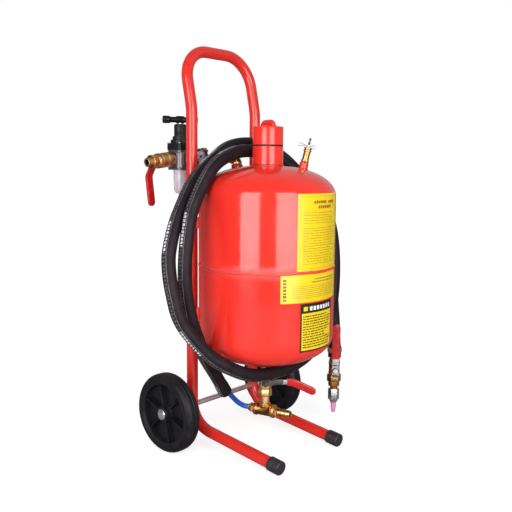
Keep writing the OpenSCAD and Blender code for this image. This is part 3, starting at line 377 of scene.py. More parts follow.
def tank_paint(name, colour, dark):
    """The tank's paint is glossier, and rough with weld spatter either side of the seam."""
    s = Shader(name, roughness=0.12, specular_ior_level=0.36, coat_weight=0.31, coat_roughness=0.04)
    s.colour(s.cloudy(colour, dark, (6, 4), 0.35, 0.75))
    split = s.node("ShaderNodeSeparateXYZ")
    s.link(s.place(), split.inputs[0])
    off_seam = s.math("ABSOLUTE", s.math("SUBTRACT", split.outputs[2], SEAM_Z * MM))
    near = s.ramp(off_seam, (0.003, 1.0), (0.017, 0.0))
    gloss = s.ramp(s.noise(40, 3), (0.3, 0.09), (0.7, 0.15))
    s.link(s.mix(near, gloss, (0.3, 0.3, 0.3)), s.bsdf.inputs["Roughness"])
    s.bump((240, 2), 0.00004, 0.4)
    s.bump((7, 2), 0.0012, 0.2)
    s.bump(s.times(s.noise(210, 4, 0.75), near), 0.0022)
    return s.material


def rubber(name, colour, grey, roughness):
    s = Shader(name, roughness=roughness, specular_ior_level=0.09)
    s.colour(s.cloudy(colour, grey, (30, 5, 0.65), 0.4, 0.8))
    s.rough((55, 4), roughness - 0.08, roughness + 0.12)
    s.bump((900, 3), 0.00008, 0.5)
    return s.material


def plastic(name, colour, lighter, roughness=0.36, grain=1400, specular=0.16):
    """Moulded plastic with a fine spark-eroded grain."""
    s = Shader(name, roughness=roughness, specular_ior_level=specular)
    s.colour(s.cloudy(colour, lighter, (22, 4), 0.4, 0.8))
    s.rough((70, 3), roughness - 0.06, roughness + 0.08)
    s.bump((grain, 2), 0.00004, 0.5)
    return s.material


def brass(name, colour, tarnish, roughness, cast=True):
    """Brass with brown tarnish, brighter worn edges and a cast or turned surface."""
    s = Shader(name, metallic=1.0, roughness=roughness)
    edges = s.ramp(s.node("ShaderNodeNewGeometry").outputs["Pointiness"], (0.504, 0.0), (0.53, 1.0))
    bright = tuple(min(1.0, c * 1.35 + 0.05) for c in colour)
    s.colour(s.mix(edges, s.cloudy(colour, tarnish, (60, 5, 0.6), 0.35, 0.7), bright))
    s.rough((90, 4), roughness - 0.08, roughness + 0.15)
    s.bump((700 if cast else 2200, 3), 0.0001 if cast else 0.00003, 0.5)
    return s.material


def steel(name, colour, dull, roughness=0.28, metallic=1.0):
    s = Shader(name, metallic=metallic, roughness=roughness)
    s.colour(s.cloudy(colour, dull, (75, 5, 0.6), 0.4, 0.75))
    s.rough((120, 4, 0.6, (1, 1, 6)), roughness - 0.1, roughness + 0.15)
    s.bump((900, 3, 0.5, (1, 1, 8)), 0.00003, 0.5)
    return s.material


def clear(name, colour, roughness, transmission):
    s = Shader(name, base_color=colour, roughness=roughness, ior=1.45, transmission_weight=transmission)
    s.bump((120, 2), 0.00004, 0.3)
    return s.material


def enamel(name, colour, dull):
    s = Shader(name, roughness=0.3)
    s.colour(s.cloudy(colour, dull, (60, 3), 0.3, 0.8))
    s.bump((900, 2), 0.00002, 0.4)
    return s.material


def ceramic(name, colour, deep):
    s = Shader(name, roughness=0.45, subsurface_weight=0.05)
    s.colour(s.cloudy(colour, deep, (120, 5, 0.7), 0.35, 0.75))
    s.bump((1800, 3), 0.00006, 0.6)
    return s.material


def soft_plastic(name, colour, deep):
    s = Shader(name, roughness=0.32)
    s.colour(s.cloudy(colour, deep, (35, 4), 0.35, 0.8))
    s.rough((70, 3), 0.28, 0.42)
    s.bump((300, 2), 0.0001, 0.4)
    return s.material


def film(name, colour, deep):
    """Printed vinyl film, a little wavy where it was laid by hand."""
    s = Shader(name, roughness=0.3, specular_ior_level=0.22)
    s.colour(s.cloudy(colour, deep, (25, 4), 0.35, 0.8))
    s.rough((50, 3), 0.24, 0.36)
    s.bump((18, 2), 0.0006, 0.35)
    return s.material


def faded_ink(name, colour, faded):
    s = Shader(name, roughness=0.35)
    s.colour(s.cloudy(colour, faded, (400, 3), 0.4, 0.7))
    return s.material


HOSE_LINE_AT = 0.47
LETTERS_A_METRE = 140
WORDS_A_METRE, WORDS_START = 4.597, 0.805
WRAP_TURNS, WRAP_ROUND = 3600, 126


def wrapped_rubber(name, colour, grey):
    """Wrapped black rubber: cloth weave left by the wrap, a pale moulded line and a dashed stripe."""
    s = Shader(name, roughness=0.42, specular_ior_level=0.06)
    split = s.node("ShaderNodeSeparateXYZ")
    s.link(s.place("UV"), split.inputs[0])
    round_it, along = split.outputs[0], split.outputs[1]

    def band(centre, half):
        return s.math("LESS_THAN", s.math("ABSOLUTE", s.math("SUBTRACT", round_it, centre)), half)

    def dashes(phase, share):
        return s.math("GREATER_THAN", s.math("FRACT", phase), share)

    line = s.times(band(HOSE_LINE_AT, 0.007), s.ramp(s.noise(160, 3), (0.35, 0.25), (0.55, 1.0)))
    ribbon = band(HOSE_LINE_AT - 0.075, 0.05)
    letters = dashes(s.times(along, LETTERS_A_METRE), 0.30)
    words = dashes(s.math("ADD", s.times(along, WORDS_A_METRE), WORDS_START), 0.7)
    strength = s.math("ADD", s.times(words, 0.85), 0.15)
    broken = s.ramp(s.noise(420, 2, 0.6), (0.42, 0.0), (0.48, 1.0))
    print_on = s.times(s.times(band(HOSE_LINE_AT - 0.066, 0.036), broken), s.times(letters, strength))
    rubber_tone = s.cloudy(colour, grey, (35, 5, 0.65), 0.35, 0.8)
    toned = s.mix(line, s.mix(ribbon, rubber_tone, (0.010, 0.008, 0.009)), (0.20, 0.18, 0.19))
    s.colour(s.mix(print_on, toned, (0.66, 0.64, 0.66)))
    s.rough((60, 4), 0.34, 0.5)
    wraps = [
        s.math("SINE", s.math(way, s.times(along, WRAP_TURNS), s.times(round_it, WRAP_ROUND)))
        for way in ("ADD", "SUBTRACT")
    ]
    s.bump(s.times(*wraps), 0.00012, 0.6)
    s.bump(line, 0.0006, 0.8)
    s.bump(s.times(ribbon, s.noise(420, 2)), 0.0005, 0.7)
    s.bump((45, 3), 0.0006, 0.3)
    return s.material


RED, RED_DARK = (0.82, 0.034, 0.022), (0.73, 0.024, 0.016)
# Slot, maker, and for each material its key, its name and the maker's values
MATERIALS = (
    ("red_paint", paint, (
        ("paint", "red_powder_coat", RED, RED_DARK),
        ("filler", "red_filler_paint", RED, RED_DARK, 0.17),
        ("weld", "red_weld", (0.62, 0.02, 0.013), (0.42, 0.012, 0.008), 0.3),
        # The frame's red is darker than the tank's: painted shade, since the tubes take less light
        ("frame", "red_frame_painted_shade", (0.68, 0.029, 0.021), (0.60, 0.021, 0.015), 0.17),
    )),
    ("red_paint", tank_paint, [("tank", "red_tank_paint", RED, RED_DARK)]),
    ("red_grip", plastic, [
        ("grip", "red_vinyl", (0.50, 0.009, 0.011), (0.40, 0.007, 0.009), 0.26, 700, 0.3),
    ]),
    ("tyre", rubber, [("tyre", "tyre_rubber", (0.009, 0.008, 0.010), (0.020, 0.018, 0.020), 0.36)]),
    ("gasket", rubber, [("gasket", "gasket_rubber", (0.008, 0.008, 0.008), (0.02, 0.02, 0.02), 0.6)]),
    ("hub", plastic, [("hub", "hub_plastic", (0.008, 0.008, 0.009), (0.016, 0.015, 0.017), 0.34)]),
    ("foot_cap", plastic, [("foot", "foot_plastic", (0.024, 0.020, 0.024), (0.042, 0.037, 0.043), 0.4)]),
    ("black_plastic", plastic, (
        ("black", "black_plastic", (0.010, 0.010, 0.011), (0.022, 0.021, 0.023)),
        ("gloss_black", "gloss_black_plastic", (0.008, 0.008, 0.009), (0.014, 0.013, 0.015), 0.2),
        # Near black for the gauge's marks and needle, and painted shade inside the bores
        ("bore", "black_print_and_bore_shade", (0.004, 0.004, 0.004), (0.008, 0.008, 0.008), 0.7),
    )),
    ("brass", brass, (
        ("brass", "cast_brass", (0.43, 0.215, 0.06), (0.21, 0.09, 0.026), 0.2),
        ("turned", "turned_brass", (0.50, 0.28, 0.09), (0.28, 0.14, 0.045), 0.24, False),
        ("inlet_brass", "inlet_cast_brass", (0.25, 0.125, 0.034), (0.15, 0.066, 0.018), 0.38),
        ("valve_brass", "valve_cast_brass", (0.50, 0.31, 0.11), (0.36, 0.20, 0.065), 0.36),
        ("relief", "relief_brass", (0.48, 0.27, 0.085), (0.30, 0.15, 0.045), 0.2, False),
        # Pale brass for the inlet valve's bands and end ring: painted highlight
        ("brass_painted_highlight", "brass_painted_highlight", (0.90, 0.62, 0.34), (0.74, 0.48, 0.24), 0.22, False),
    )),
    ("copper", brass, [("copper", "coppered_steel", (0.56, 0.30, 0.16), (0.36, 0.17, 0.09), 0.32, False)]),
    ("steel", steel, (
        ("wire", "spring_wire", (0.24, 0.23, 0.25), (0.15, 0.14, 0.16), 0.35),
        ("dull_steel", "dull_steel", (0.42, 0.40, 0.42), (0.26, 0.24, 0.27), 0.4),
        ("steel", "zinc_steel", (0.62, 0.61, 0.62), (0.42, 0.41, 0.43)),
        ("axle", "axle_steel", (0.70, 0.60, 0.62), (0.50, 0.42, 0.44), 0.36),
        ("chrome", "bright_chrome", (0.80, 0.79, 0.81), (0.60, 0.59, 0.62), 0.16),
        # Near-black steel; on the abrasive lever's root it is painted shade
        ("dark_steel", "dark_steel", (0.07, 0.06, 0.06), (0.04, 0.035, 0.035), 0.45),
    )),
    ("regulator_metal", steel, (
        ("regulator", "coated_casting", (0.13, 0.118, 0.14), (0.07, 0.063, 0.078), 0.36, 0.6),
        # A lighter copy of the casting for the ribs: painted highlight on the lit facets
        ("regulator_rib", "coated_casting_painted_highlight", (0.50, 0.47, 0.52), (0.30, 0.28, 0.33), 0.36, 0.6),
    )),
    ("filter_white", plastic, [("white", "filter_white", (0.72, 0.72, 0.74), (0.62, 0.62, 0.65), 0.6, 500)]),
    ("dial", enamel, [("dial", "dial_enamel", (0.74, 0.73, 0.76), (0.66, 0.65, 0.68))]),
    ("clear_bowl", clear, [("bowl", "bowl_plastic", (0.93, 0.86, 0.92), 0.10, 0.6)]),
    ("gauge_glass", clear, [("lens", "gauge_glass", (0.86, 0.80, 0.92), 0.03, 0.95)]),
    ("ceramic", ceramic, [("ceramic", "pink_ceramic", (0.80, 0.30, 0.56), (0.66, 0.20, 0.42))]),
    ("black_hose", wrapped_rubber, [("hose", "hose_rubber", (0.014, 0.009, 0.012), (0.026, 0.018, 0.023))]),
    ("blue_hose", soft_plastic, [
        ("blue_hose", "blue_hose_plastic", (0.012, 0.10, 0.62), (0.008, 0.07, 0.48)),
    ]),
    ("yellow_decal", film, (
        ("decal", "yellow_film", (0.84, 0.60, 0.012), (0.78, 0.53, 0.008)),
        ("decal_dark", "yellow_film_header", (0.012, 0.010, 0.010), (0.02, 0.018, 0.018)),
    )),
    ("yellow_decal", faded_ink, [("rules", "print_rules", (0.28, 0.20, 0.02), (0.50, 0.36, 0.02))]),
    ("yellow_decal", plastic, (
        ("heading", "heading_print", (0.22, 0.07, 0.012), (0.36, 0.16, 0.016), 0.4, 600),
        ("print_white", "white_print", (0.80, 0.80, 0.78), (0.66, 0.66, 0.64), 0.4, 600),
    )),
)


def make_materials():
    for slot, maker, rows in MATERIALS:
        for key, name, *values in rows:
            M[key] = maker(name, *values)
            SLOT[key] = slot


# ---------------------------------------------------------------- hoses

BLAST_R = 14.5
BLAST_ROUTE = [
    (-50, 79, 118), (-97, 63, 172), (-144, 45, 222), (-177, 33, 269), (-200, 28, 315),
    (-215, 26, 367), (-220, 25, 422), (-213, 26, 487), (-193, 30, 548), (-135, 39, 622),
    (-71, 49, 654), (0, 56, 665), (79, 50, 654), (148, 24, 612), (187, -6, 551),
    (207, -22, 489), (211, -32, 408), (199, -38, 317), (171, -39, 247), (124, -36, 203),
    (58, -38, 183), (-19, -42, 181), (-86, -40, 189), (-144, -31, 214), (-193, -14, 250),
    (-243, 8, 318), (-257, 20, 379), (-254, 35, 436), (-240, 45, 476),
    (-206, 60, 531), (-146, 75, 602),
    (-80, 84, 647), (-25, 89, 674), (45, 90, 682), (114, 87, 669), (178, 72, 628),
    (221, 45, 560), (238, 20, 480), (234, 0, 400), (228, -16, 320), (224, -27, 245),
    (224, -30, 200), (224, -30, 166),
]
AIR_HOSE_R = 6
AIR_ROUTE = [
    (0, 200, 620), (0, 200, 596), (-3, 198, 566), (-8, 194, 530), (-14, 189, 490),
    (-20, 184, 450), (-26, 180, 410), (-30, 177, 370), (-34, 174, 330), (-37, 171, 290),
    (-38, 168, 254), (-36, 164, 220), (-31, 158, 188), (-24, 148, 158), (-16, 135, 131),
    (-9, 119, 106), (-7, 99, 92), (-10, 75, 83), (-13, 52, 81), (-10, 40, 81),
]
# A hose is swollen this far from its ends, and narrows again over this length
BARB_MM, TAPER_MM = 24, 10


def make_hose(name, route, radius, sides, steps, material, node, swell=0):
    """A smooth tube whose ends swell over their barbs, with U round it and V in metres along it."""
    points = smooth_path(route, steps)
    gone = [0.0]
    for a, b in zip(points, points[1:]):
        gone.append(gone[-1] + (b - a).length)
    to_end = [min(run, gone[-1] - run) for run in gone]
    radii = [radius + swell * min(max(1 - (left - BARB_MM) / TAPER_MM, 0), 1) for left in to_end]
    verts = [at(*p) for ring in tube_rings(points, radii, sides) for p in ring]
    faces, corners = [], []
    for i, (low, high) in enumerate(zip(gone, gone[1:])):
        for k in range(sides):
            j = (k + 1) % sides
            faces.append((i * sides + k, i * sides + j, (i + 1) * sides + j, (i + 1) * sides + k))
            u0, u1 = k / sides, (k + 1) / sides
            corners += [(u0, low * MM), (u1, low * MM), (u1, high * MM), (u0, high * MM)]
    faces += [tuple(reversed(range(sides))), tuple(range(len(verts) - sides, len(verts)))]
    corners += [(0.25, 0.0)] * sides + [(0.25, gone[-1] * MM)] * sides
    mesh = bpy.data.meshes.new(name)
    mesh.from_pydata(verts, [], faces)
    for loop, uv in zip(mesh.uv_layers.new(name="along").data, corners):
        loop.uv = uv
    piece = add_piece(name, mesh, [material], node, sharp=50)
    return piece, [at(*p) for p in points], gone[-1] * MM


# ---------------------------------------------------------------- tank

TANK_R = 150
LOW_Z, SEAM_Z, HIGH_Z = 265, 416, 566
DOME_H, DOME_POWER = 68, 2.2
AIR_BOSS_Y, BOSS_WELD_R = 92, 13.4


def wall_r(z):
    """The tank's radius at a height."""
    over = max(z - HIGH_Z, LOW_Z - z, 0)
    return TANK_R * (1 - (over / DOME_H) ** DOME_POWER) ** (1 / DOME_POWER)


def dome_z(r):
    """The upper dome's height at a radius."""
    return HIGH_Z + DOME_H * (1 - (r / TANK_R) ** DOME_POWER) ** (1 / DOME_POWER)


def dome_profile(z, way, steps=30):
    power = 2 / DOME_POWER
    turns = [pi / 2 * i / steps for i in range(steps + 1)]
    return [(TANK_R * max(cos(t), 0) ** power, z + way * DOME_H * sin(t) ** power) for t in turns]


def weld(name, path, radius, ripple=2.4, body=ROOT):
    """A weld bead: a closed, flattened rod whose surface ripples along its length."""
    points = walk(path + path[:1], ripple / 4)[:-1]
    radii = [radius * (0.86 + 0.14 * abs(sin(pi * s / ripple)) + 0.05 * sin(s * 0.37)) for _, s in points]
    Build().sweep([p for p, _ in points], radii, 8, True, 0.7).done(name, "weld", body=body, sharp=80)


def make_tank():
    for name, way, start in (("upper", 1, HIGH_Z), ("lower", -1, LOW_Z)):
        profile = [(TANK_R, SEAM_Z), (TANK_R, SEAM_Z + way * 60)] + dome_profile(start, way)
        Build().lathe(profile, 160).done("tank_" + name, "tank", "tank_shell_" + name)
    ripples, steps = 210, 6
    section = [(-0.6, -4.2), (0.35, -3.1), (1.0, -1.6), (1.25, 0), (1.0, 1.6), (0.35, 3.1), (-0.6, 4.2)]
    rings = []
    for i, angle in enumerate(angles(ripples * steps)):
        wave = 0.84 + 0.16 * sin(2 * pi * (i % steps) / steps) + 0.1 * sin(angle * 23)
        shift = 0.5 * sin(angle * 9) + 0.35 * sin(angle * 31)
        rings.append([heading(angle, TANK_R + out * wave, SEAM_Z + up + shift) for out, up in section])
    Build().loft(rings, True).done("tank_seam_bead", "tank", "tank_weld_seam", sharp=80)


def make_bosses():
    """The outlet, air and relief bosses, each in its ring of weld."""
    tilt = relief_frame()
    air = Matrix.Translation((0, AIR_BOSS_Y, 0))
    boss = Build().lathe([(16, 186), (16, 204)])
    boss.lathe([(13, HIGH_Z + 40), (13, 633.4), (12.2, 634)], 48, air)
    boss.lathe([(9.8, -10), (9.8, 13), (9, 14)], 48, tilt)
    boss.done("tank_bosses_turned", "paint", "tank_bosses", bevel=0.6)
    weld("weld_outlet", circle_path((0, 0, 197.6), 16.6), 2.2)
    ring = circle(BOSS_WELD_R, 0, 40, air)
    for p in ring:
        p.z = dome_z(hypot(p.x, p.y)) + 0.6
    weld("weld_air_boss", ring, 1.9)
    weld("weld_relief_boss", circle_path(tilt @ Vector((0, 0, 0.4)), 10.4, tilt.to_3x3() @ Z), 2.0)


# ---------------------------------------------------------------- decals

DECAL_FILM, DECAL_INK = 0.22, 0.3
DECAL_GAP, MIDDLE_TALL = 3, 58
MM_ANGLE = degrees(1 / TANK_R)
FILM, DARK, RULES, WHITE, HEADING = range(5)


def wobble(i):
    """A number from 0 to 1 that varies from row to row, the same in each run."""
    return (sin(i * 12.9898) * 43758.5453) % 1.0


def make_decals():
    """Three films with bars and blocks where print would be; angles in degrees from the right."""
    verts, faces, marks = [], [], []

    def area(low, high, start, end, mark, out=DECAL_INK):
        """A curved rectangle on the tank's wall."""
        across = max(1, int((end - start) / 1.5))
        rows = max(1, int((high - low) / 3))
        base = len(verts)
        for j in range(rows + 1):
            z = low + (high - low) * j / rows
            r = wall_r(z) + out
            for i in range(across + 1):
                verts.append(at(*heading(radians(start + (end - start) * i / across), r, z)))
        for k in range(rows * across):
            first = base + k + k // across
            faces.append((first, first + 1, first + across + 2, first + across + 1))
            marks.append(mark)

    def frame_lines(low, high, start, end, inset, width, mark):
        a, w = inset * MM_ANGLE, width * MM_ANGLE
        area(low + inset, low + inset + width, start + a, end - a, mark)
        area(high - inset - width, high - inset, start + a, end - a, mark)
        for side in (start + a, end - a - w):
            area(low + inset + width, high - inset - width, side, side + w, mark)

    def rows_of(low, high, start, end, pitch, height, mark, words=False, ragged=0.3):
        for i in range(int((high - low) / pitch)):
            z = high - (i + 1) * pitch + (pitch - height) / 2
            if wobble(i * 3 + low) < 0.1:
                continue
            stop = end - (end - start) * ragged * wobble(i + low) ** 3
            if not words:
                area(z, z + height, start, stop, mark)
                continue
            at_angle, k = start, 0
            while at_angle < stop - 1.2:
                word = (1.6 + 4.2 * wobble(i * 17 + k)) * MM_ANGLE * 2
                area(z, z + height, at_angle, min(at_angle + word, stop), mark)
                at_angle += word + 1.6 * MM_ANGLE
                k += 1

    def blocks(low, height, start, end, wide, gap):
        """A heading: a row of blocks, one left out now and then."""
        for i in range(int((end - start) / (wide + gap))):
            if wobble(i + low) > 0.1:
                a = start + i * (wide + gap)
                area(low, low + height * (0.85 + 0.15 * wobble(i)), a, a + wide, HEADING)

    low, high, start, end = SEAM_Z + DECAL_GAP, HIGH_Z + 11, -114.5, -61.7
    area(low, high, start, end, FILM, DECAL_FILM)
    frame_lines(low, high, start, end, 5, 0.7, RULES)
    blocks(high - 20, 6.5, start + 15, end - 8, 2.0, 0.6)
    blocks(high - 30, 6.5, start + 20, end - 14, 2.0, 0.6)
    rows_of(low + 8, high - 36, start + 5, end - 5, 5.2, 1.3, RULES, words=True)

    high, start, end = SEAM_Z - DECAL_GAP, -127.7, -62.7
    low = high - MIDDLE_TALL
    area(low, high, start, end, FILM, DECAL_FILM)
    for i in range(7):
        z = low + 5 + i * 6.7
        area(z, z + 4 + 1.6 * wobble(i), start + 1.8, start + 4.6, HEADING)
    area(high - 12, high - 9.5, start + 30, end - 8, RULES)
    area(high - 18, high - 15.5, start + 27, end - 6, RULES)
    rows_of(low + 5, high - 22, start + 9, end - 4, 4.0, 1.0, RULES, ragged=0.15)

    low, high, start, end = LOW_Z - 15, low - DECAL_GAP, -110.8, -71.5
    area(low, high, start, end, DARK, DECAL_FILM)
    area(low + 3.5, high - 20, start + 1.4, end - 1.4, FILM, DECAL_FILM + 0.04)
    area(high - 15, high - 6, start + 3, start + 7, FILM)
    for i in range(7):
        a = start + 9 + i * 3.9
        area(high - 15, high - 6.5, a, a + 2.8, WHITE)
    rows_of(low + 6, high - 24, start + 2.6, end - 2.6, 5.4, 2.3, DARK, words=True)

    mesh = bpy.data.meshes.new("decal_films")
    mesh.from_pydata(verts, [], faces)
    inks = ["decal", "decal_dark", "rules", "print_white", "heading"]
    films = add_piece("decal_films", mesh, inks, "decals", sharp=180)
    films.data.polygons.foreach_set("material_index", marks)


# ---------------------------------------------------------------- filler and relief valve

NECK_R = 33.5
CAP_TOP = 716
ROD_HEAD = radians(78)


def make_filler():
    neck = [(NECK_R, 610), (NECK_R, 673), (NECK_R - 0.8, 674), (29, 674), (29, 703), (25, 704), (25, 610)]
    Build().pipe(neck, 96).done("filler_neck_turned", "filler", "filler_neck")
    weld("weld_neck", circle_path((0, 0, dome_z(NECK_R) + 0.8), NECK_R + 0.8, count=64), 2.2)
    seal = [(33.1, 674), (33.4, 675.5), (33.1, 677), (29.5, 677), (29.5, 674)]
    Build().pipe(seal, 96).done("neck_seal", "gasket", "neck_gasket", "cap_seal")
    Build().pipe([
        (NECK_R - 0.6, 677), (NECK_R, 677.8), (NECK_R, 714), (NECK_R - 0.7, 715.5), (NECK_R - 2.2, CAP_TOP),
        (0.01, CAP_TOP), (0.01, 707), (29.4, 707), (29.4, 677),
    ], 96).done("filler_cap_turned", "filler", "filler_cap", "cap")

    half, rise, rod = 19.4, 9.4, 5.3
    arc = [(half - rise + rise * cos(t), 0, rise * sin(t)) for t in (pi / 2 * i / 10 for i in range(11))]
    path = [(half, 0, -1)] + arc + [(-x, y, z) for x, y, z in reversed(arc)] + [(-half, 0, -1)]
    grip = Build((0, 0, CAP_TOP), x=heading(ROD_HEAD)).sweep(path, rod, 24)
    grip.lathe([(13.5, -0.4), (13.5, 2.2), (12, 3.6), (9, 4.4)])
    grip.done("cap_rod", "paint", "cap_handle", "cap", sharp=60)
    for side, name in ((1, "front"), (-1, "rear")):
        foot = heading(ROD_HEAD, side * half, CAP_TOP + 0.4)
        weld("weld_rod_" + name, circle_path(foot, rod + 0.6, count=24), 1.4, 1.8, "cap")


def relief_frame():
    head = radians(-47.6)
    base = Matrix.Translation(heading(head, 77, 626.361))
    return base @ Matrix.Rotation(head, 4, "Z") @ Matrix.Rotation(radians(13.2232), 4, "Y")


def make_relief():
    tilt = relief_frame() @ Matrix.Translation((0, 0, 14))
    Build().hexagon(17, 0, 7, tilt).pipe([
        (6.4, 6), (7.1, 6.4), (7.3, 8), (7.3, 24.2), (8.4, 24.6), (9, 25.2),
        (9, 27.2), (8.4, 27.8), (7, 28.1), (7, 29.6), (8.6, 30), (8.6, 32), (7.6, 33), (2.8, 33), (2.8, 6),
    ], 48, tilt).done("relief_valve_turned", "relief", "relief_body", bevel=0.35)
    stem = Build().lathe([(2.5, 0), (2.5, 40.6), (2.1, 41.4)], 24, tilt)
    stem.done("relief_stem_turned", "dull_steel", "relief_stem", "relief_pin")
    upright = tilt @ Matrix.Translation((0, 0, 46.5)) @ spin(76) @ Matrix.Rotation(pi / 2, 4, "X")
    ring = Build().sweep(circle(6.4, 0, 48, upright), 1.5, 12, True)
    ring.done("relief_pull_ring", "wire", body="relief_pin")

    # The split pin: an eye on one side, and its two legs through the stem
    pin = tilt @ Matrix.Translation((0, 0, 36))
    turns = [radians(a) for a in range(20, 341, 16)]
    eye = [(5.6 + 4 * (1 - cos(t)), 0, 4 * sin(t)) for t in turns]
    spread = [(-5.5 - s * cos(radians(9)), 0.7 + s * sin(radians(9))) for s in (3, 9, 17)]
    leg = [(5.6, 0.7), (0, 0.62), (-5.5, 0.7)] + spread
    cotter = Build()
    for path in [(x, 0, z) for x, z in leg], [(x, 0, -z) for x, z in leg], eye:
        cotter.sweep([pin @ Vector(p) for p in path], 0.62, 10)
    cotter.done("relief_split_pin", "wire", "relief_cotter", "relief_pin", sharp=60)


# ---------------------------------------------------------------- frame and wheels

TUBE_R = 12.7
HALF_GAUGE = 102
UPRIGHT_Y = 131.85
FOOT_FALL = radians(6)
FOOT_CAP_Z = 16.44
FOOT_REACH = 121
FOOT_BEND_Y, FOOT_BEND_Z, FOOT_BEND_R = 71.85, 97.78, 60
LEAN, LEAN_R, LEAN_Z = radians(12), 120, 742.39
HANDLE_R = 70
BRACKETS = (("low", 301), ("high", 506))
SIDES = ((-1, "left"), (1, "right"))


def make_frame():
    """One tube, bent from the left foot up over the handle and down to the right foot."""
    def foot_z(y):
        return FOOT_CAP_Z + (FOOT_REACH + y) * tan_fall

    x, tan_fall = -HALF_GAUGE, sin(FOOT_FALL) / cos(FOOT_FALL)
    half = [Vector((x, y, foot_z(y))) for y in (8 - FOOT_REACH, 0)]
    half += arc_points((x, FOOT_BEND_Y, FOOT_BEND_Z), Y, -Z, FOOT_BEND_R, 84, 0, 20)
    half[2].z = foot_z(78.12)
    half += [Vector((x, UPRIGHT_Y, z)) for z in (300, 500, 700)]
    half += arc_points((x, UPRIGHT_Y + LEAN_R, LEAN_Z), -Y, Z, LEAN_R, 0, 12, 5)
    up = Vector((0, sin(LEAN), cos(LEAN)))
    corner = Vector((x + HANDLE_R, UPRIGHT_Y, 755)) + up * (131.88 - HANDLE_R)
    half += arc_points(corner, -X, up, HANDLE_R, 0, 90, 22)
    other = [Vector((-p.x, p.y, p.z)) for p in reversed(half)]
    nodes = ["upright_left", "upright_right", "foot_left", "foot_right", "handle"]
    # The tube takes the darker frame red, which is painted shade
    Build().sweep(half + other, TUBE_R, 40).done("frame_tube", "frame", nodes, sharp=60)

    brackets = [
        (name + "_" + level, z, Matrix.Rotation(atan2(UPRIGHT_Y, side * HALF_GAUGE), 4, "Z"))
        for side, name in SIDES for level, z in BRACKETS
    ]
    plates = Build()
    for _, z, turn in brackets:
        plates.fin(149.2, 156.2, 7, 7, z - 12, z + 12, turn)
    plates.done("frame_brackets", "paint", "brackets", bevel=0.8)
    for name, z, turn in brackets:
        corners = ((-7.6, -12.6), (7.6, -12.6), (7.6, 12.6), (-7.6, 12.6))
        loop = [turn @ Vector((sqrt(TANK_R ** 2 - u * u) + 0.4, u, z + v)) for u, v in corners]
        weld("weld_bracket_" + name, loop, 1.9)


def make_foot_caps():
    r = 15.2
    turns = [radians(a) for a in range(15, 91, 15)]
    rim = [(r - 3 + 3 * cos(t), 12.5 + 3 * sin(t)) for t in turns]
    profile = [
        (12.9, -15.5), (r - 0.9, -15.5), (r, -14.6), (r, -3), (r - 0.5, -2.4), (r - 0.5, -1.4), (r, -0.8),
        (r, 12.5), *rim, (r - 5, 15.3), (r - 6, 14.9), (0.01, 14.9),
    ]
    for side, name in SIDES:
        cap = Build((side * HALF_GAUGE, -FOOT_REACH, FOOT_CAP_Z), z=(0, -cos(FOOT_FALL), -sin(FOOT_FALL)))
        cap.lathe(profile, 64).done("foot_cap_moulded_" + name, "foot", "foot_cap_" + name)


AXLE_Y, WHEEL_R, WHEEL_X = 131.05, 88, 174.7
RIBS, RIB_START = 6, 12


def at_axle(side, x):
    """A frame on the axle whose Z points outward."""
    return Build((side * x, AXLE_Y, WHEEL_R), X * side, Z)


def dented(r, z, count):
    """A ring of a pressed cap: dents in its face, and a crimped edge."""
    ring = []
    for k, a in enumerate(angles(count)):
        dent = 0.18 * sin(5 * a + 1) + 0.14 * sin(9 * a) if r > 2 and 0.5 < z < 3.9 else 0
        crimp = 0.35 if k % 6 == 0 and 9 < r < 12.6 else 0
        ring.append(heading(a, r - crimp, z + dent))
    return ring


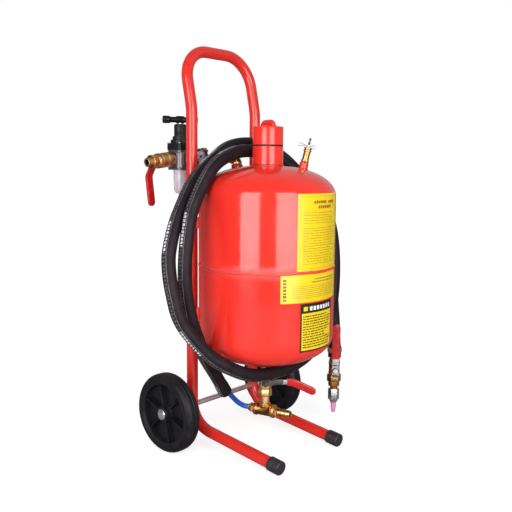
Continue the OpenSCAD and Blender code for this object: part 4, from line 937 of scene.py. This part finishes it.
def make_wheels():
    rod = at_axle(1, 0).lathe([(5.4, -197.4), (6, -196.8), (6, 196.8), (5.4, 197.4)], 40)
    for side in (-1, 1):
        low, high = sorted((side * 115.2, side * 154.2))
        rod.pipe([(9.1, low), (9.5, low + 0.4), (9.5, high - 0.4), (9.1, high), (6, high), (6, low)], 40)
    rod.done("axle_and_spacers", "axle", "axle")
    half = [
        (68, 14.5), (69.6, 16.2), (72, 17.2), (75, 18.6), (78.4, 18.9), (80.2, 18.2), (80.9, 17.3),
        (81.6, 18), (83.4, 16.2), (85.6, 13.6), (86.9, 11), (87.6, 8.6), (86.7, 7.9), (86.7, 6.9),
        (87.9, 6.1), (88, 2.6), (87, 1.8), (87, 0.9),
    ]
    tread = half + [(r, -z) for r, z in reversed(half)] + [(66, -14), (66, 14)]
    pressed = [
        (12.4, 0.4), (12.5, 1.2), (11.7, 2.2), (9.5, 2.9), (8.4, 3.7), (5.5, 3.9), (2.6, 3.5), (0.01, 3.4),
    ]
    for side, name in SIDES:
        wheel = "wheel_" + name
        tyre = at_axle(side, WHEEL_X).pipe(tread, 128)
        tyre.done("tyre_moulded_" + name, "tyre", "tyre_" + name, wheel, sharp=28)
        hub = at_axle(side, WHEEL_X)
        hub.pipe([
            (66, -15.5), (69.4, -16), (69.4, 15.6), (68.6, 16), (66.4, 16), (65.4, 15.2), (64.6, 3),
            (64.6, -15),
        ], 96)
        hub.pipe([(66, -2.4), (66, 2.4), (14, 2.4), (14, -2.4)], 96)
        hub.pipe([
            (6.1, -20), (16, -20), (17, -19), (17, 19), (16.2, 20), (13.2, 20), (12.8, 19.2), (6.1, 19.2),
        ], 64)
        hub.pipe([(20.5, 2), (20.5, 9), (19.6, 9.8), (18.4, 9.8), (17.6, 9), (17.6, 2)], 64)
        for i in range(RIBS):
            around = 360 / RIBS * i + RIB_START
            hub.fin(16, 65, 1.6, 1.1, -12.8, 13.4, spin(around))
            for lean in (-7.5, 7.5):
                hub.fin(20, 65, 0.7, 0.7, 1, 7.5, spin(around + lean))
        hub.done("hub_moulded_" + name, "hub", "hub_" + name, wheel, bevel=0.5, sharp=30)
        push_cap = at_axle(side, 194.7).loft([dented(r, z, 60) for r, z in pressed])
        push_cap.done("push_cap_pressed_" + name, "chrome", "push_caps", slot="chrome", sharp=50)


# ---------------------------------------------------------------- air line and regulator

AIR_Z = 646
LINE_Y = 200
REG_X, REG_HALF = -75, 22
PORT_REACH = 16


def make_air_line():
    port, tee = Vector((0, AIR_BOSS_Y, AIR_Z)), Vector((0, LINE_Y, AIR_Z))
    at_port, at_tee = Matrix.Translation(port), Matrix.Translation(tee)
    bend = arc_points(port + Vector((0, 8, -8)), -Y, Z, 8, 0, 90, 10)
    elbow = Build().sweep([port - Z * 11.5] + bend + [port + Y * 15.5], 9.6, 32)
    elbow.hexagon(22, -12, -4, at_port)
    elbow.lathe([(10.6, 9), (11, 9.6), (11, 15.4), (10.6, 16)], 40, along_axis(port, Y))
    elbow.lathe([(9.8, -16), (9.8, 12), (9.2, 12.6)], 40, at_tee)
    collar = [(9.8, 0), (9.8, 10.5), (10.6, 11), (11, 11.6), (11, 15.4), (10.6, 16)]
    for direction in (-Y, -X, -Z):
        elbow.lathe(collar, 40, along_axis(tee, direction))
    elbow.hexagon(17, 11.5, 16, at_tee).hexagon(20, 16.5, 23, at_tee)
    elbow.lathe([(6.6, 16), (6.6, 26), (5.8, 27)], 32, at_tee)
    elbow.done("air_elbow_and_tee", "brass", "air_elbows", bevel=0.4)

    pipes = Build()
    for start, direction, length in ((port, Y, 76), (tee, -X, -REG_X - REG_HALF - PORT_REACH)):
        cut = thread(0.4, length - 0.4, 1.6, 8.4, 7.7, 0.8, length - 0.2)
        turn = along_axis(start + direction * PORT_REACH, direction)
        pipes.lathe([(7.9, 0)] + cut + [(7.8, length)], 32, turn)
    pipes.done("air_nipples", "steel", "air_pipes", sharp=25)

    fitting = Build((0, LINE_Y, AIR_Z - 26)).hexagon(17, 3, 10)
    fitting.lathe([(7.4, 0), (7.9, 0.5), (7.9, 3.5)], 32)
    fitting.done("air_hose_fitting", "steel", "air_fitting", bevel=0.3)


def octagon(half, cut):
    """A square's outline with its corners cut off."""
    side = [(half - cut, -half), (half, cut - half), (half, half - cut), (half - cut, half)]
    return side + [(-x, -y) for x, y in side]


def make_regulator():
    centre = (REG_X, LINE_Y, 0)
    half = REG_HALF
    body = Build(centre).prism(octagon(half - 1.2, 6), 624, 662)
    body.prism(octagon(half, 5), 621, 626.5).prism(octagon(half, 5), 659.5, 666)
    # The ribs are a lighter copy of the casting: painted highlight
    ribs = Build(centre)
    bonnet = Build(centre).prism(octagon(23, 4.5), 666, 681)
    for turn in (0, 90, 180, 270):
        face = spin(turn)
        body.fin(14, half, 11.5, 11.5, 631, 661, face)
        for side in (-15.4, 15.4):
            ribs.fin(half - 4, half - 0.2, 2, 2, 625, 660.5, face @ Matrix.Translation((0, side, 0)))
        bonnet.fin(18, 23.1, 12, 12, 668, 679, face)
    body.done("regulator_casting", "regulator", "regulator_body", bevel=1.1, segments=3)
    ribs.done("regulator_ribs", "regulator_rib", bevel=0.5)

    bonnet.lathe([(22, 680), (22, 688), (21, 689)], 64)
    bonnet.lathe([(17.5, 688), (17.5, 696), (16.6, 697)], 64)
    bonnet.lathe([
        (14, 696), (14, 700), (13.6, 700.6), (13.6, 702), (14, 702.6), (14, 721), (12.6, 723.4), (11.4, 724),
        (8, 724),
    ], 64)
    for k in range(12):
        bonnet.fin(13, 14, 1.2, 0.8, 703.5, 720.5, spin(30 * k))
    bonnet.done("regulator_bonnet_moulded", "black", "regulator_bonnet", bevel=0.6)
    screws = Build(centre)
    for x in (-18.4, 18.4):
        for y in (-18.4, 18.4):
            screws.lathe([(2.9, 680), (2.9, 682.4), (2.3, 683.2)], 20, Matrix.Translation((x, y, 0)))
    screws.done("regulator_screws", "dull_steel")

    screw = Build(centre).lathe([(3.7, 695), (3.7, 718.6)] + thread(719, 723.6, 1.2, 4, 3.6, 0.6, 724) + [
        (6.2, 724.35), (6.9, 724.5), (6.9, 725.1), (4, 725.25), (4, 733.8),
    ], 32)
    screw.done("adjusting_screw_cut", "chrome", "adjusting_screw", "regulator_knob", sharp=25)
    half_bar = [
        (8.3, 0), (8.5, 1), (8.5, 7.4), (7.9, 8.8), (6.8, 9.4), (6.5, 11), (6.5, 21.6), (6.9, 23),
        (8.1, 24.4), (8.5, 26), (8.5, 37.4), (7.9, 39.3), (6.4, 40),
    ]
    bar = Build((REG_X, LINE_Y, 734), heading(radians(-32)), Z)
    bar.lathe([(r, -z) for r, z in reversed(half_bar)] + half_bar[1:], 40)
    bar.done("tee_handle_moulded", "gloss_black", "tee_handle", "regulator_knob", sharp=50)

    # The bowl's profile runs down its outside and back up its inside
    Build(centre).pipe([
        (16, 621), (16, 606), (15.6, 588), (14.8, 577), (13.9, 572.6), (12.2, 569.4), (9.6, 567.5),
        (6.5, 567), (3.2, 567), (3.2, 569.4), (8.4, 569.6), (11.3, 572), (12.6, 576), (13.6, 585),
        (13.8, 621),
    ], 64).done("filter_bowl_moulded", "bowl", "filter_bowl", sharp=50)
    core = Build(centre).lathe([(8.8, 596), (8.8, 640)], 40)
    for k in range(20):
        core.fin(8.6, 9.6, 0.5, 0.3, 596, 620.5, spin(18 * k))
    core.done("filter_core", "white", "filter_element")
    baffle = Build(centre).lathe([(11, 588.6), (12.6, 589), (13, 590), (13, 593.4), (11.6, 594.6), (6, 596)])
    baffle.done("filter_baffle", "black")
    drain = Build(centre).lathe([
        (4, 559), (5, 559.5), (5, 563.6), (4.2, 564.3), (3, 564.4), (3, 570), (2, 570.6),
    ], 32)
    drain.done("bowl_drain_turned", "black", "bowl_drain", "drain", bevel=0.2)


def in_gauge():
    """Depth grows toward the front: the case runs from 42 to 64 mm in front of the regulator's middle."""
    return Build((-66.5, LINE_Y, 651), -Y)


def make_gauge():
    in_gauge().pipe([
        (6, 42), (17.4, 42), (18.1, 43), (18.1, 59.4), (18.5, 60), (18.5, 63.2), (17.9, 64), (16.6, 64),
        (16.3, 63.2), (16.3, 61), (15.6, 57), (6, 56.5),
    ], 64).done("gauge_case_pressed", "gloss_black", "gauge_case")
    stem = in_gauge().lathe([(5, 22), (5, 29), (4.4, 29.4), (4.4, 37), (5.4, 37.6), (5.4, 42)], 32)
    stem.hexagon(15, 28, 36).done("gauge_stem_turned", "turned", "gauge_stem", bevel=0.3)
    in_gauge().lathe([(16.4, 56.2), (16.4, 57)], 64).done("gauge_dial_plate", "dial", "gauge_dial")
    marks = in_gauge()
    for k in range(41):
        inner, half_width = (12.6, 0.14) if k % 5 else (11.4, 0.32)
        marks.fin(inner, 14.2, half_width, half_width, 57, 57.12, spin(270 * k / 40 - 45))
    marks.done("gauge_marks", "bore")
    needle = in_gauge().fin(-4, 12.6, 0.9, 0.25, 58.4, 59, spin(225))
    needle.lathe([(1.4, 55), (1.4, 58), (2.7, 58.3), (2.7, 59.3), (1.9, 59.8)], 24)
    needle.done("gauge_needle_pressed", "bore", "gauge_needle", "needle")
    lens = in_gauge().lathe([(16.4, 62.6), (16.4, 63.3), (14, 63.8), (8, 64), (0.01, 64)], 64)
    lens.done("gauge_lens", "lens", "gauge_glass")


# ---------------------------------------------------------------- valves

LEVER_THICK, GRIP_SKIN = 2.5, 2.5


def rounded_section(width, thick, corner, steps=4):
    w, t = width / 2, thick / 2
    c = min(corner, w * 0.98, t * 0.98)
    out = []
    for sx, sy, start in ((1, 1, 0), (-1, 1, 90), (-1, -1, 180), (1, -1, 270)):
        for a in (radians(start + 90 * k / steps) for k in range(steps + 1)):
            out.append((sx * (w - c) + c * cos(a), sy * (t - c) + c * sin(a)))
    return out


def strip(build, path, width, thick, corner, side=None):
    """A bar with a rounded end; side is the direction of its width, and without one it bends on edge."""
    dense = walk(path, 1.2)
    total = dense[-1][1]
    rings = []
    for i, (p, run) in enumerate(dense):
        before, after = dense[max(i - 1, 0)][0], dense[min(i + 1, len(dense) - 1)][0]
        along = (after - before).normalized()
        across = side or Z.cross(along).normalized()
        up = along.cross(across).normalized()
        short = 1 - min((total - run) / (width / 2), 1)
        wide = max(width * sqrt(1 - short * short), 0.6)
        rings.append([p + across * u + up * v for u, v in rounded_section(wide, thick, corner)])
    build.loft(rings)


def flat_bar(build, path, width, thick, corner):
    strip(build, round_corners(path, 9), width, thick, corner)


def make_lever(valve, origin, stem, reach, path, width, grip_from):
    """A pressed lever on its stem, and the vinyl on its end. The path is in the stem's own frame."""
    route, body = round_corners(path), valve + "_lever_set"
    lever = Build(origin, stem, reach)
    strip(lever, route, width, LEVER_THICK, 0.6, X)
    lever.done(valve + "_lever_pressed", "chrome", valve + "_lever", body, bevel=0.25)
    grip = Build(origin, stem, reach)
    gripped = [p for p, run in walk(route, 1) if run >= grip_from]
    strip(grip, gripped, width + 2 * GRIP_SKIN, LEVER_THICK + 2 * GRIP_SKIN, 2.8, X)
    grip.done(valve + "_grip_dipped", "grip", valve + "_grip", body, sharp=70)


def nut_and_stem(name, valve, origin, stem, reach, out, material):
    face = out + LEVER_THICK
    nut = Build(origin, stem, reach).hexagon(14, face, face + 4.6)
    nut.lathe([(6.6, face - 0.1), (6.9, face + 0.2), (6.9, face + 0.8)], 32)
    nut.lathe([(3.8, 6), (3.8, face + 4.4), (3.2, face + 5)], 24)
    nut.done(name + "_stem_and_nut", material, valve + "_ball", valve + "_lever_set", bevel=0.3)


INLET_DROOP = radians(7)
INLET_OUT = Vector((-cos(INLET_DROOP), 0, -sin(INLET_DROOP)))
INLET_AT = Vector((REG_X - REG_HALF, LINE_Y, AIR_Z)) + INLET_OUT * 44


def in_inlet():
    """Heights run from the regulator's face, at -44, to the end of the spigot, at 33."""
    return Build(INLET_AT, INLET_OUT, Y)


def make_inlet():
    r = 16.75
    body = in_inlet().pipe([
        (7, -41.2), (12.7, -41.2), (14.8, -40.6), (r - 0.5, -39.8), (r, -38.4), (r, -22.4), (r - 0.7, -21.6),
        (r - 0.7, -20.4), (r, -19.6), (r, -5.6), (r - 0.7, -4.8), (r - 0.7, -3.6), (r, -2.8), (r, 3.6),
        (r - 1.1, 5.6), (r - 1.8, 7.2), (7, 7.2),
    ], 80)
    body.hexagon(33.4, 6.6, 21.6)
    body.pipe([
        (7, 20), (15.6, 20), (14.9, 22), (10.2, 22), (9.4, 22.6), (9.4, 24), (9.9, 24.4), (9.9, 32.3),
        (9.2, 33), (7.9, 33), (7, 32.2),
    ], 64)
    gland = [(9, 12), (9, 16.6), (8.4, 17.2), (6.6, 17.4), (6.6, 19), (4.2, 19.2)]
    body.lathe(gland, 40, along_axis((0, 0, 0), X))
    body.done("inlet_valve_cast", "inlet_brass", "inlet_valve_body", bevel=0.5)
    # The bands and the spigot's end ring are pale brass: painted highlight
    rings = in_inlet()
    for low in (-22, -5.2):
        rings.pipe([(r - 1, low), (r - 0.15, low + 0.2), (r - 0.15, low + 2), (r - 1, low + 2.2)], 80)
    rings.pipe([(7.2, 32.4), (9.3, 32.4), (9.2, 33), (7.9, 33), (7.2, 32.7)], 64)
    rings.done("inlet_valve_rings", "brass_painted_highlight")
    # A near-black sleeve and plug inside the spigot: painted shade in the bore
    bore = in_inlet().pipe([(6.9, 0), (6.9, 32.2), (7.1, 32.2), (7.1, 0)])
    bore.lathe([(6.9, 6), (6.9, 6.6)], 40).done("inlet_bore", "bore", slot="brass")
    nut_and_stem("inlet", "inlet", INLET_AT, Y, -INLET_OUT, 20, "steel")
    path = [(0, -8.4, 21.25), (0, 13, 21.25), (0, 34.4, 38.25), (0, 103, 38.25)]
    make_lever("inlet", INLET_AT, Y, -INLET_OUT, path, 14, 16)


STEM_DIR = heading(radians(-137.9))
LEVER_DIR = Z.cross(STEM_DIR)


def make_abrasive_valve():
    origin = (0, 0, 155)
    body = Build(origin, Z, LEVER_DIR).pipe([(6.5, -57), (9.2, -57), (9.6, -56), (9.6, -40), (6.5, -40)])
    body.hexagon(31, -40, -24)
    body.pipe([
        (6.5, -24), (13.4, -24.4), (14.2, -23.6), (14.2, -20), (14.5, -19), (14.5, -13), (14, -12), (14, 6),
        (14.5, 7), (14.5, 12.6), (13.4, 14), (12.2, 15.4), (12.2, 18), (6.5, 18),
    ], 64)
    body.hexagon(25, 12.5, 19)
    body.pipe([(6.5, 18), (10, 18)] + thread(19, 31, 1.6, 10.5, 9.8, 0.8, 31) + [(6.5, 31)], 40)
    body.done("abrasive_valve_cast", "valve_brass", "sand_valve_body", bevel=0.5)
    packing = Build(origin, STEM_DIR, LEVER_DIR).lathe([
        (9.5, 8), (9.5, 14), (8.2, 15.4), (7, 16), (7, 28), (5.4, 28.6), (5.4, 39),
    ], 40)
    packing.hexagon(15.4, 20, 27).done("abrasive_valve_packing", "brass", bevel=0.4)
    nut_and_stem("abrasive", "sand", origin, STEM_DIR, LEVER_DIR, 40, "dark_steel")

    # In the stem's frame X is along the lever and Y is up: the plate stands on edge and droops past its bend
    droop = radians(25)
    out, bend, rise, tip = 41.25, 60, 4.5, 56
    hub = [(-8, 0, out), (8, 0, out), (24, rise, out)]
    end = [(bend, rise, out), (bend + tip * cos(droop), rise - tip * sin(droop), out)]
    lever = Build(origin, STEM_DIR, LEVER_DIR)
    flat_bar(lever, hub + end, 11, LEVER_THICK, 0.5)
    lever.done("abrasive_lever_pressed", "chrome", "sand_lever", "sand_lever_set", bevel=0.25)
    # A near-black sleeve over the lever's root and a collar at the stem: painted shade
    root = Build(origin, STEM_DIR, LEVER_DIR)
    flat_bar(root, hub + [(40, rise, out)], 11.8, 3.1, 0.6)
    root.lathe([(7.6, 39.7), (8, 40), (8, 42.5), (7.6, 42.8)], 40)
    root.done("abrasive_lever_root_painted_shade", "dark_steel", body="sand_lever_set", bevel=0.25)
    grip = Build(origin, STEM_DIR, LEVER_DIR)
    flat_bar(grip, [(48, rise, out)] + end, 17, LEVER_THICK + 2 * GRIP_SKIN, 2.6)
    grip.done("abrasive_grip_dipped", "grip", "sand_grip", "sand_lever_set", sharp=70)


def in_tee():
    return Build((0, 0, 81), heading(radians(-76)), Z)


def make_mixing_tee():
    body = in_tee().pipe([
        (5.5, -26), (13.6, -26), (15, -24.6), (15, -18), (13.8, -17), (13.2, -15), (13.2, 15), (13.8, 17),
        (15, 18), (15, 24.6), (13.6, 26), (5.5, 26),
    ], 64)
    branch = [(5.5, 0), (12.2, 0), (12.2, 9.6), (13, 10.4), (13, 16.2), (12, 17), (5.5, 17)]
    body.pipe(branch, 64, along_axis((0, 0, 0), X))
    body.done("mixing_tee_cast", "brass", "mixing_tee", bevel=0.5)
    nut = in_tee().hexagon(22.8, -37, -26).lathe([(7.4, -41), (8.2, -40.4), (8.2, -36)], 40)
    nut.done("air_hose_nut_turned", "turned", bevel=0.4)
    barbs = [(6.2, 34), (7.6, 34)]
    for z in (34, 44, 54):
        barbs += [(9, z + 0.8), (9, z + 1.6), (7.5, z + 9.6)]
    tail = in_tee().hexagon(24, 26, 34).pipe(barbs + [(7.3, 64), (6.4, 64), (6.2, 63.8)])
    tail.done("barbed_tail_turned", "turned", "barbed_tail", bevel=0.15)
    # A near-black sleeve inside the tail's end: painted shade in the bore
    in_tee().lathe([(6.3, 56), (6.3, 62.2), (6.1, 62.3)], 40).done("barbed_tail_bore", "bore", slot="brass")


# ---------------------------------------------------------------- blast nozzle

NOZZLE_X, NOZZLE_Y, NOZZLE_Z = 224, -30, 138


def in_nozzle(z, up=Z, x=LEVER_DIR):
    return Build((NOZZLE_X, NOZZLE_Y, z), up, x)


def make_nozzle():
    """The valve, lever, holder, tip and clamp at the blast hose's end; returns those that are fixed to it."""
    origin = (NOZZLE_X, NOZZLE_Y, NOZZLE_Z)
    body = in_nozzle(NOZZLE_Z).pipe([
        (6.5, -52), (8.6, -52), (9, -51.4), (9, -46.6), (12, -46), (13.4, -44.6), (13.9, -42), (13.9, -34),
        (6.5, -34),
    ], 64)
    body.hexagon(35, -34, -15)
    body.pipe([
        (6.5, -16), (13, -16), (13.9, -15), (13.9, -9), (13.3, -8), (13.3, 8), (13.9, 9), (13.9, 17),
        (12.6, 18.6), (10, 19), (6.5, 19),
    ], 64)
    body.pipe([(6.5, 18), (9.6, 18), (9.6, 27), (9, 28), (6.5, 28)]).hexagon(26, 19, 24)
    pieces = [body.done("nozzle_valve_cast", "brass", "nozzle_valve_body", bevel=0.5)]
    packing = in_nozzle(NOZZLE_Z, STEM_DIR)
    packing.lathe([(9.8, 8), (9.8, 14.6), (8.4, 16), (7, 16.4), (7, 24), (5.4, 25)], 40)
    pieces.append(packing.done("nozzle_valve_packing", "brass", bevel=0.4))
    nut_and_stem("nozzle", "nozzle", origin, STEM_DIR, LEVER_DIR, 26, "dull_steel")
    path = [(0, y, 27.25) for y in (-10.2, 12, 16, 116.4)]
    make_lever("nozzle", origin, STEM_DIR, LEVER_DIR, path, 15.5, 40)
    washer = in_nozzle(NOZZLE_Z, STEM_DIR).lathe([(7.7, 28.6), (7.7, 29.2), (7.3, 29.5)], 40)
    for low, high in ((-16.5, -11.5), (12, 15.5)):
        washer.prism([(-7.4, low), (7.4, low), (5.6, high), (-5.6, high)], 28.4, 29)
    washer.done("nozzle_lever_washer", "dark_steel", body="nozzle_lever_set", bevel=0.15)

    holder = in_nozzle(52).hexagon(28, 6, 34).pipe([(7, 0), (9, 0), (11.2, 5.2), (11.8, 8), (7, 8)])
    holder.pipe([(4, 33), (9.6, 33), (9.6, 34), (4, 34)])
    pieces.append(holder.done("nozzle_holder_turned", "steel", "nozzle_holder", bevel=0.4))
    tip = in_nozzle(25).pipe([
        (1.5, 44), (7, 44), (7, 27), (6.6, 14), (4.9, 2), (4.2, 0.4), (3.6, 0), (2, 0.2), (1.5, 1),
    ])
    pieces.append(tip.done("ceramic_tip", "ceramic", "ceramic_nozzle"))

    # The band's ears point away from the lever, and the bolt goes through them
    clamp = in_nozzle(178)
    clamp.pipe([(16.05, 0), (17.2, 0), (17.5, 0.6), (17.5, 12.4), (17.2, 13), (16.05, 13)], 64)
    clamp.pipe([(17.3, 3.2), (17.9, 3.6), (17.9, 9.4), (17.3, 9.8)], 64)
    for x in (-3.2, 3.2):
        clamp.prism([(x - 1, 16), (x + 1, 16), (x + 1, 28), (x - 1, 28)], 0.6, 12.4)
    pieces.append(clamp.done("hose_clamp_band", "copper", "hose_clamp", bevel=0.4))
    away = Matrix.Translation((0, -22.5, 0))
    bolt = in_nozzle(184.5, LEVER_DIR, Z).lathe([(2.2, -5), (2.2, 5)], 20, away).hexagon(8.5, -5, -4.2, away)
    pieces.append(bolt.done("hose_clamp_bolt", "steel", bevel=0.2))
    return pieces


# ---------------------------------------------------------------- light and floor

LAMP_AWAY, LAMP_Z, LAMP_TALL = 1.85, 0.892, 1.49
WORLD_DIFFUSE = 0.42
ROOM_GLOSSY, BACKDROP_GLOSSY = 0.14, 0.5
TO_BACKDROP = (0.981, 0.213, 0)
FLOOR_REACH = 40


def area_light(name, azimuth, width, power, colour=(1, 1, 1)):
    """A soft box that faces the object; azimuth is in degrees from the front."""
    data = bpy.data.lights.new(name, "AREA")
    data.shape = "RECTANGLE"
    data.size = width
    data.size_y = LAMP_TALL
    data.energy = power
    data.color = colour
    lamp = add_object(name, data)
    away = heading(radians(azimuth - 90))
    lamp.location = Vector((0, AXIS_Y, LAMP_Z)) + away * LAMP_AWAY
    lamp.rotation_euler = away.to_track_quat("Z", "Y").to_euler()
    return lamp


def make_light():
    # Each soft box has a twin that only reflections see, for the gloss of the paint
    for name, azimuth, width, power, gloss, colour in (
        ("soft_box_left", -75.5, 1.0, 24, 84, (0.97, 0.94, 1.0)),
        ("soft_box_right", -17, 1.15, 26, 102, (1.0, 0.98, 0.94)),
    ):
        area_light(name, azimuth, width, power)
        area_light(name + "_gloss", azimuth, width, gloss, colour).visible_diffuse = False
    area_light("soft_box_back", -145, 0.9, 9).visible_glossy = False


def make_world():
    world = bpy.data.worlds.new("studio")
    bpy.context.scene.world = world
    world.use_nodes = True
    nodes, link = world.node_tree.nodes, world.node_tree.links.new

    # What reflections see: the white backdrop behind the object, and a dimmer room before it
    facing = nodes.new("ShaderNodeVectorMath")
    facing.operation = "DOT_PRODUCT"
    link(nodes.new("ShaderNodeTexCoord").outputs["Generated"], facing.inputs[0])
    facing.inputs[1].default_value = TO_BACKDROP
    mirror = nodes.new("ShaderNodeMapRange")
    link(facing.outputs["Value"], mirror.inputs["Value"])
    mirror.inputs["From Min"].default_value = -0.2
    mirror.inputs["From Max"].default_value = 0.5
    mirror.inputs["To Min"].default_value = ROOM_GLOSSY
    mirror.inputs["To Max"].default_value = BACKDROP_GLOSSY

    rays = nodes.new("ShaderNodeLightPath")
    glossy, camera, through = [nodes.new("ShaderNodeMix") for _ in range(3)]
    for step, ray in ((glossy, "Is Glossy Ray"), (camera, "Is Camera Ray"), (through, "Is Transmission Ray")):
        link(rays.outputs[ray], step.inputs["Factor"])
        step.inputs["B"].default_value = 1
    glossy.inputs["A"].default_value = WORLD_DIFFUSE
    link(mirror.outputs["Result"], glossy.inputs["B"])
    link(glossy.outputs["Result"], camera.inputs["A"])
    link(camera.outputs["Result"], through.inputs["A"])
    link(through.outputs["Result"], nodes["Background"].inputs["Strength"])
    nodes["Background"].inputs["Color"].default_value = (1, 1, 1, 1)


def make_floor():
    s = Shader("studio_floor", roughness=0.9, emission_color=(1, 1, 1))
    rays = s.node("ShaderNodeLightPath")
    pale = s.cloudy((0.52, 0.52, 0.52), (0.50, 0.50, 0.505), (2, 2), 0.3, 0.7)
    s.colour(s.mix(rays.outputs["Is Glossy Ray"], pale, (0.26, 0.26, 0.26)))
    # Far from the lamps the floor keeps its white for the camera
    away = s.node("ShaderNodeVectorMath", operation="LENGTH")
    s.link(s.place(), away.inputs[0])
    lift = s.ramp(s.times(away.outputs["Value"], 0.2), (0.1, 0.69), (0.3, 0.81), (0.6, 0.90))
    s.link(s.times(rays.outputs["Is Camera Ray"], lift), s.bsdf.inputs["Emission Strength"])
    data = bpy.data.meshes.new("floor")
    corners = ((-1, -1), (1, -1), (1, 1), (-1, 1))
    data.from_pydata([(x * FLOOR_REACH, y * FLOOR_REACH, 0) for x, y in corners], [], [(0, 1, 2, 3)])
    data.materials.append(s.material)
    add_object("floor", data)


# ---------------------------------------------------------------- the scene

make_camera()
make_materials()
blast, blast_path, blast_length = make_hose(
    "blast_hose_tube", BLAST_ROUTE, BLAST_R, 32, 7, "hose", "blast_hose", 1.5)
air, air_path, air_length = make_hose("air_hose_tube", AIR_ROUTE, AIR_HOSE_R, 20, 5, "blue_hose", "air_hose")
make_tank()
make_bosses()
make_decals()
make_filler()
make_relief()
make_frame()
make_foot_caps()
make_wheels()
make_air_line()
make_regulator()
make_gauge()
make_inlet()
make_abrasive_valve()
make_mixing_tee()
nozzle_pieces = make_nozzle()

make_light()
make_world()
make_floor()

view = bpy.context.scene.view_settings
view.view_transform = "Standard"
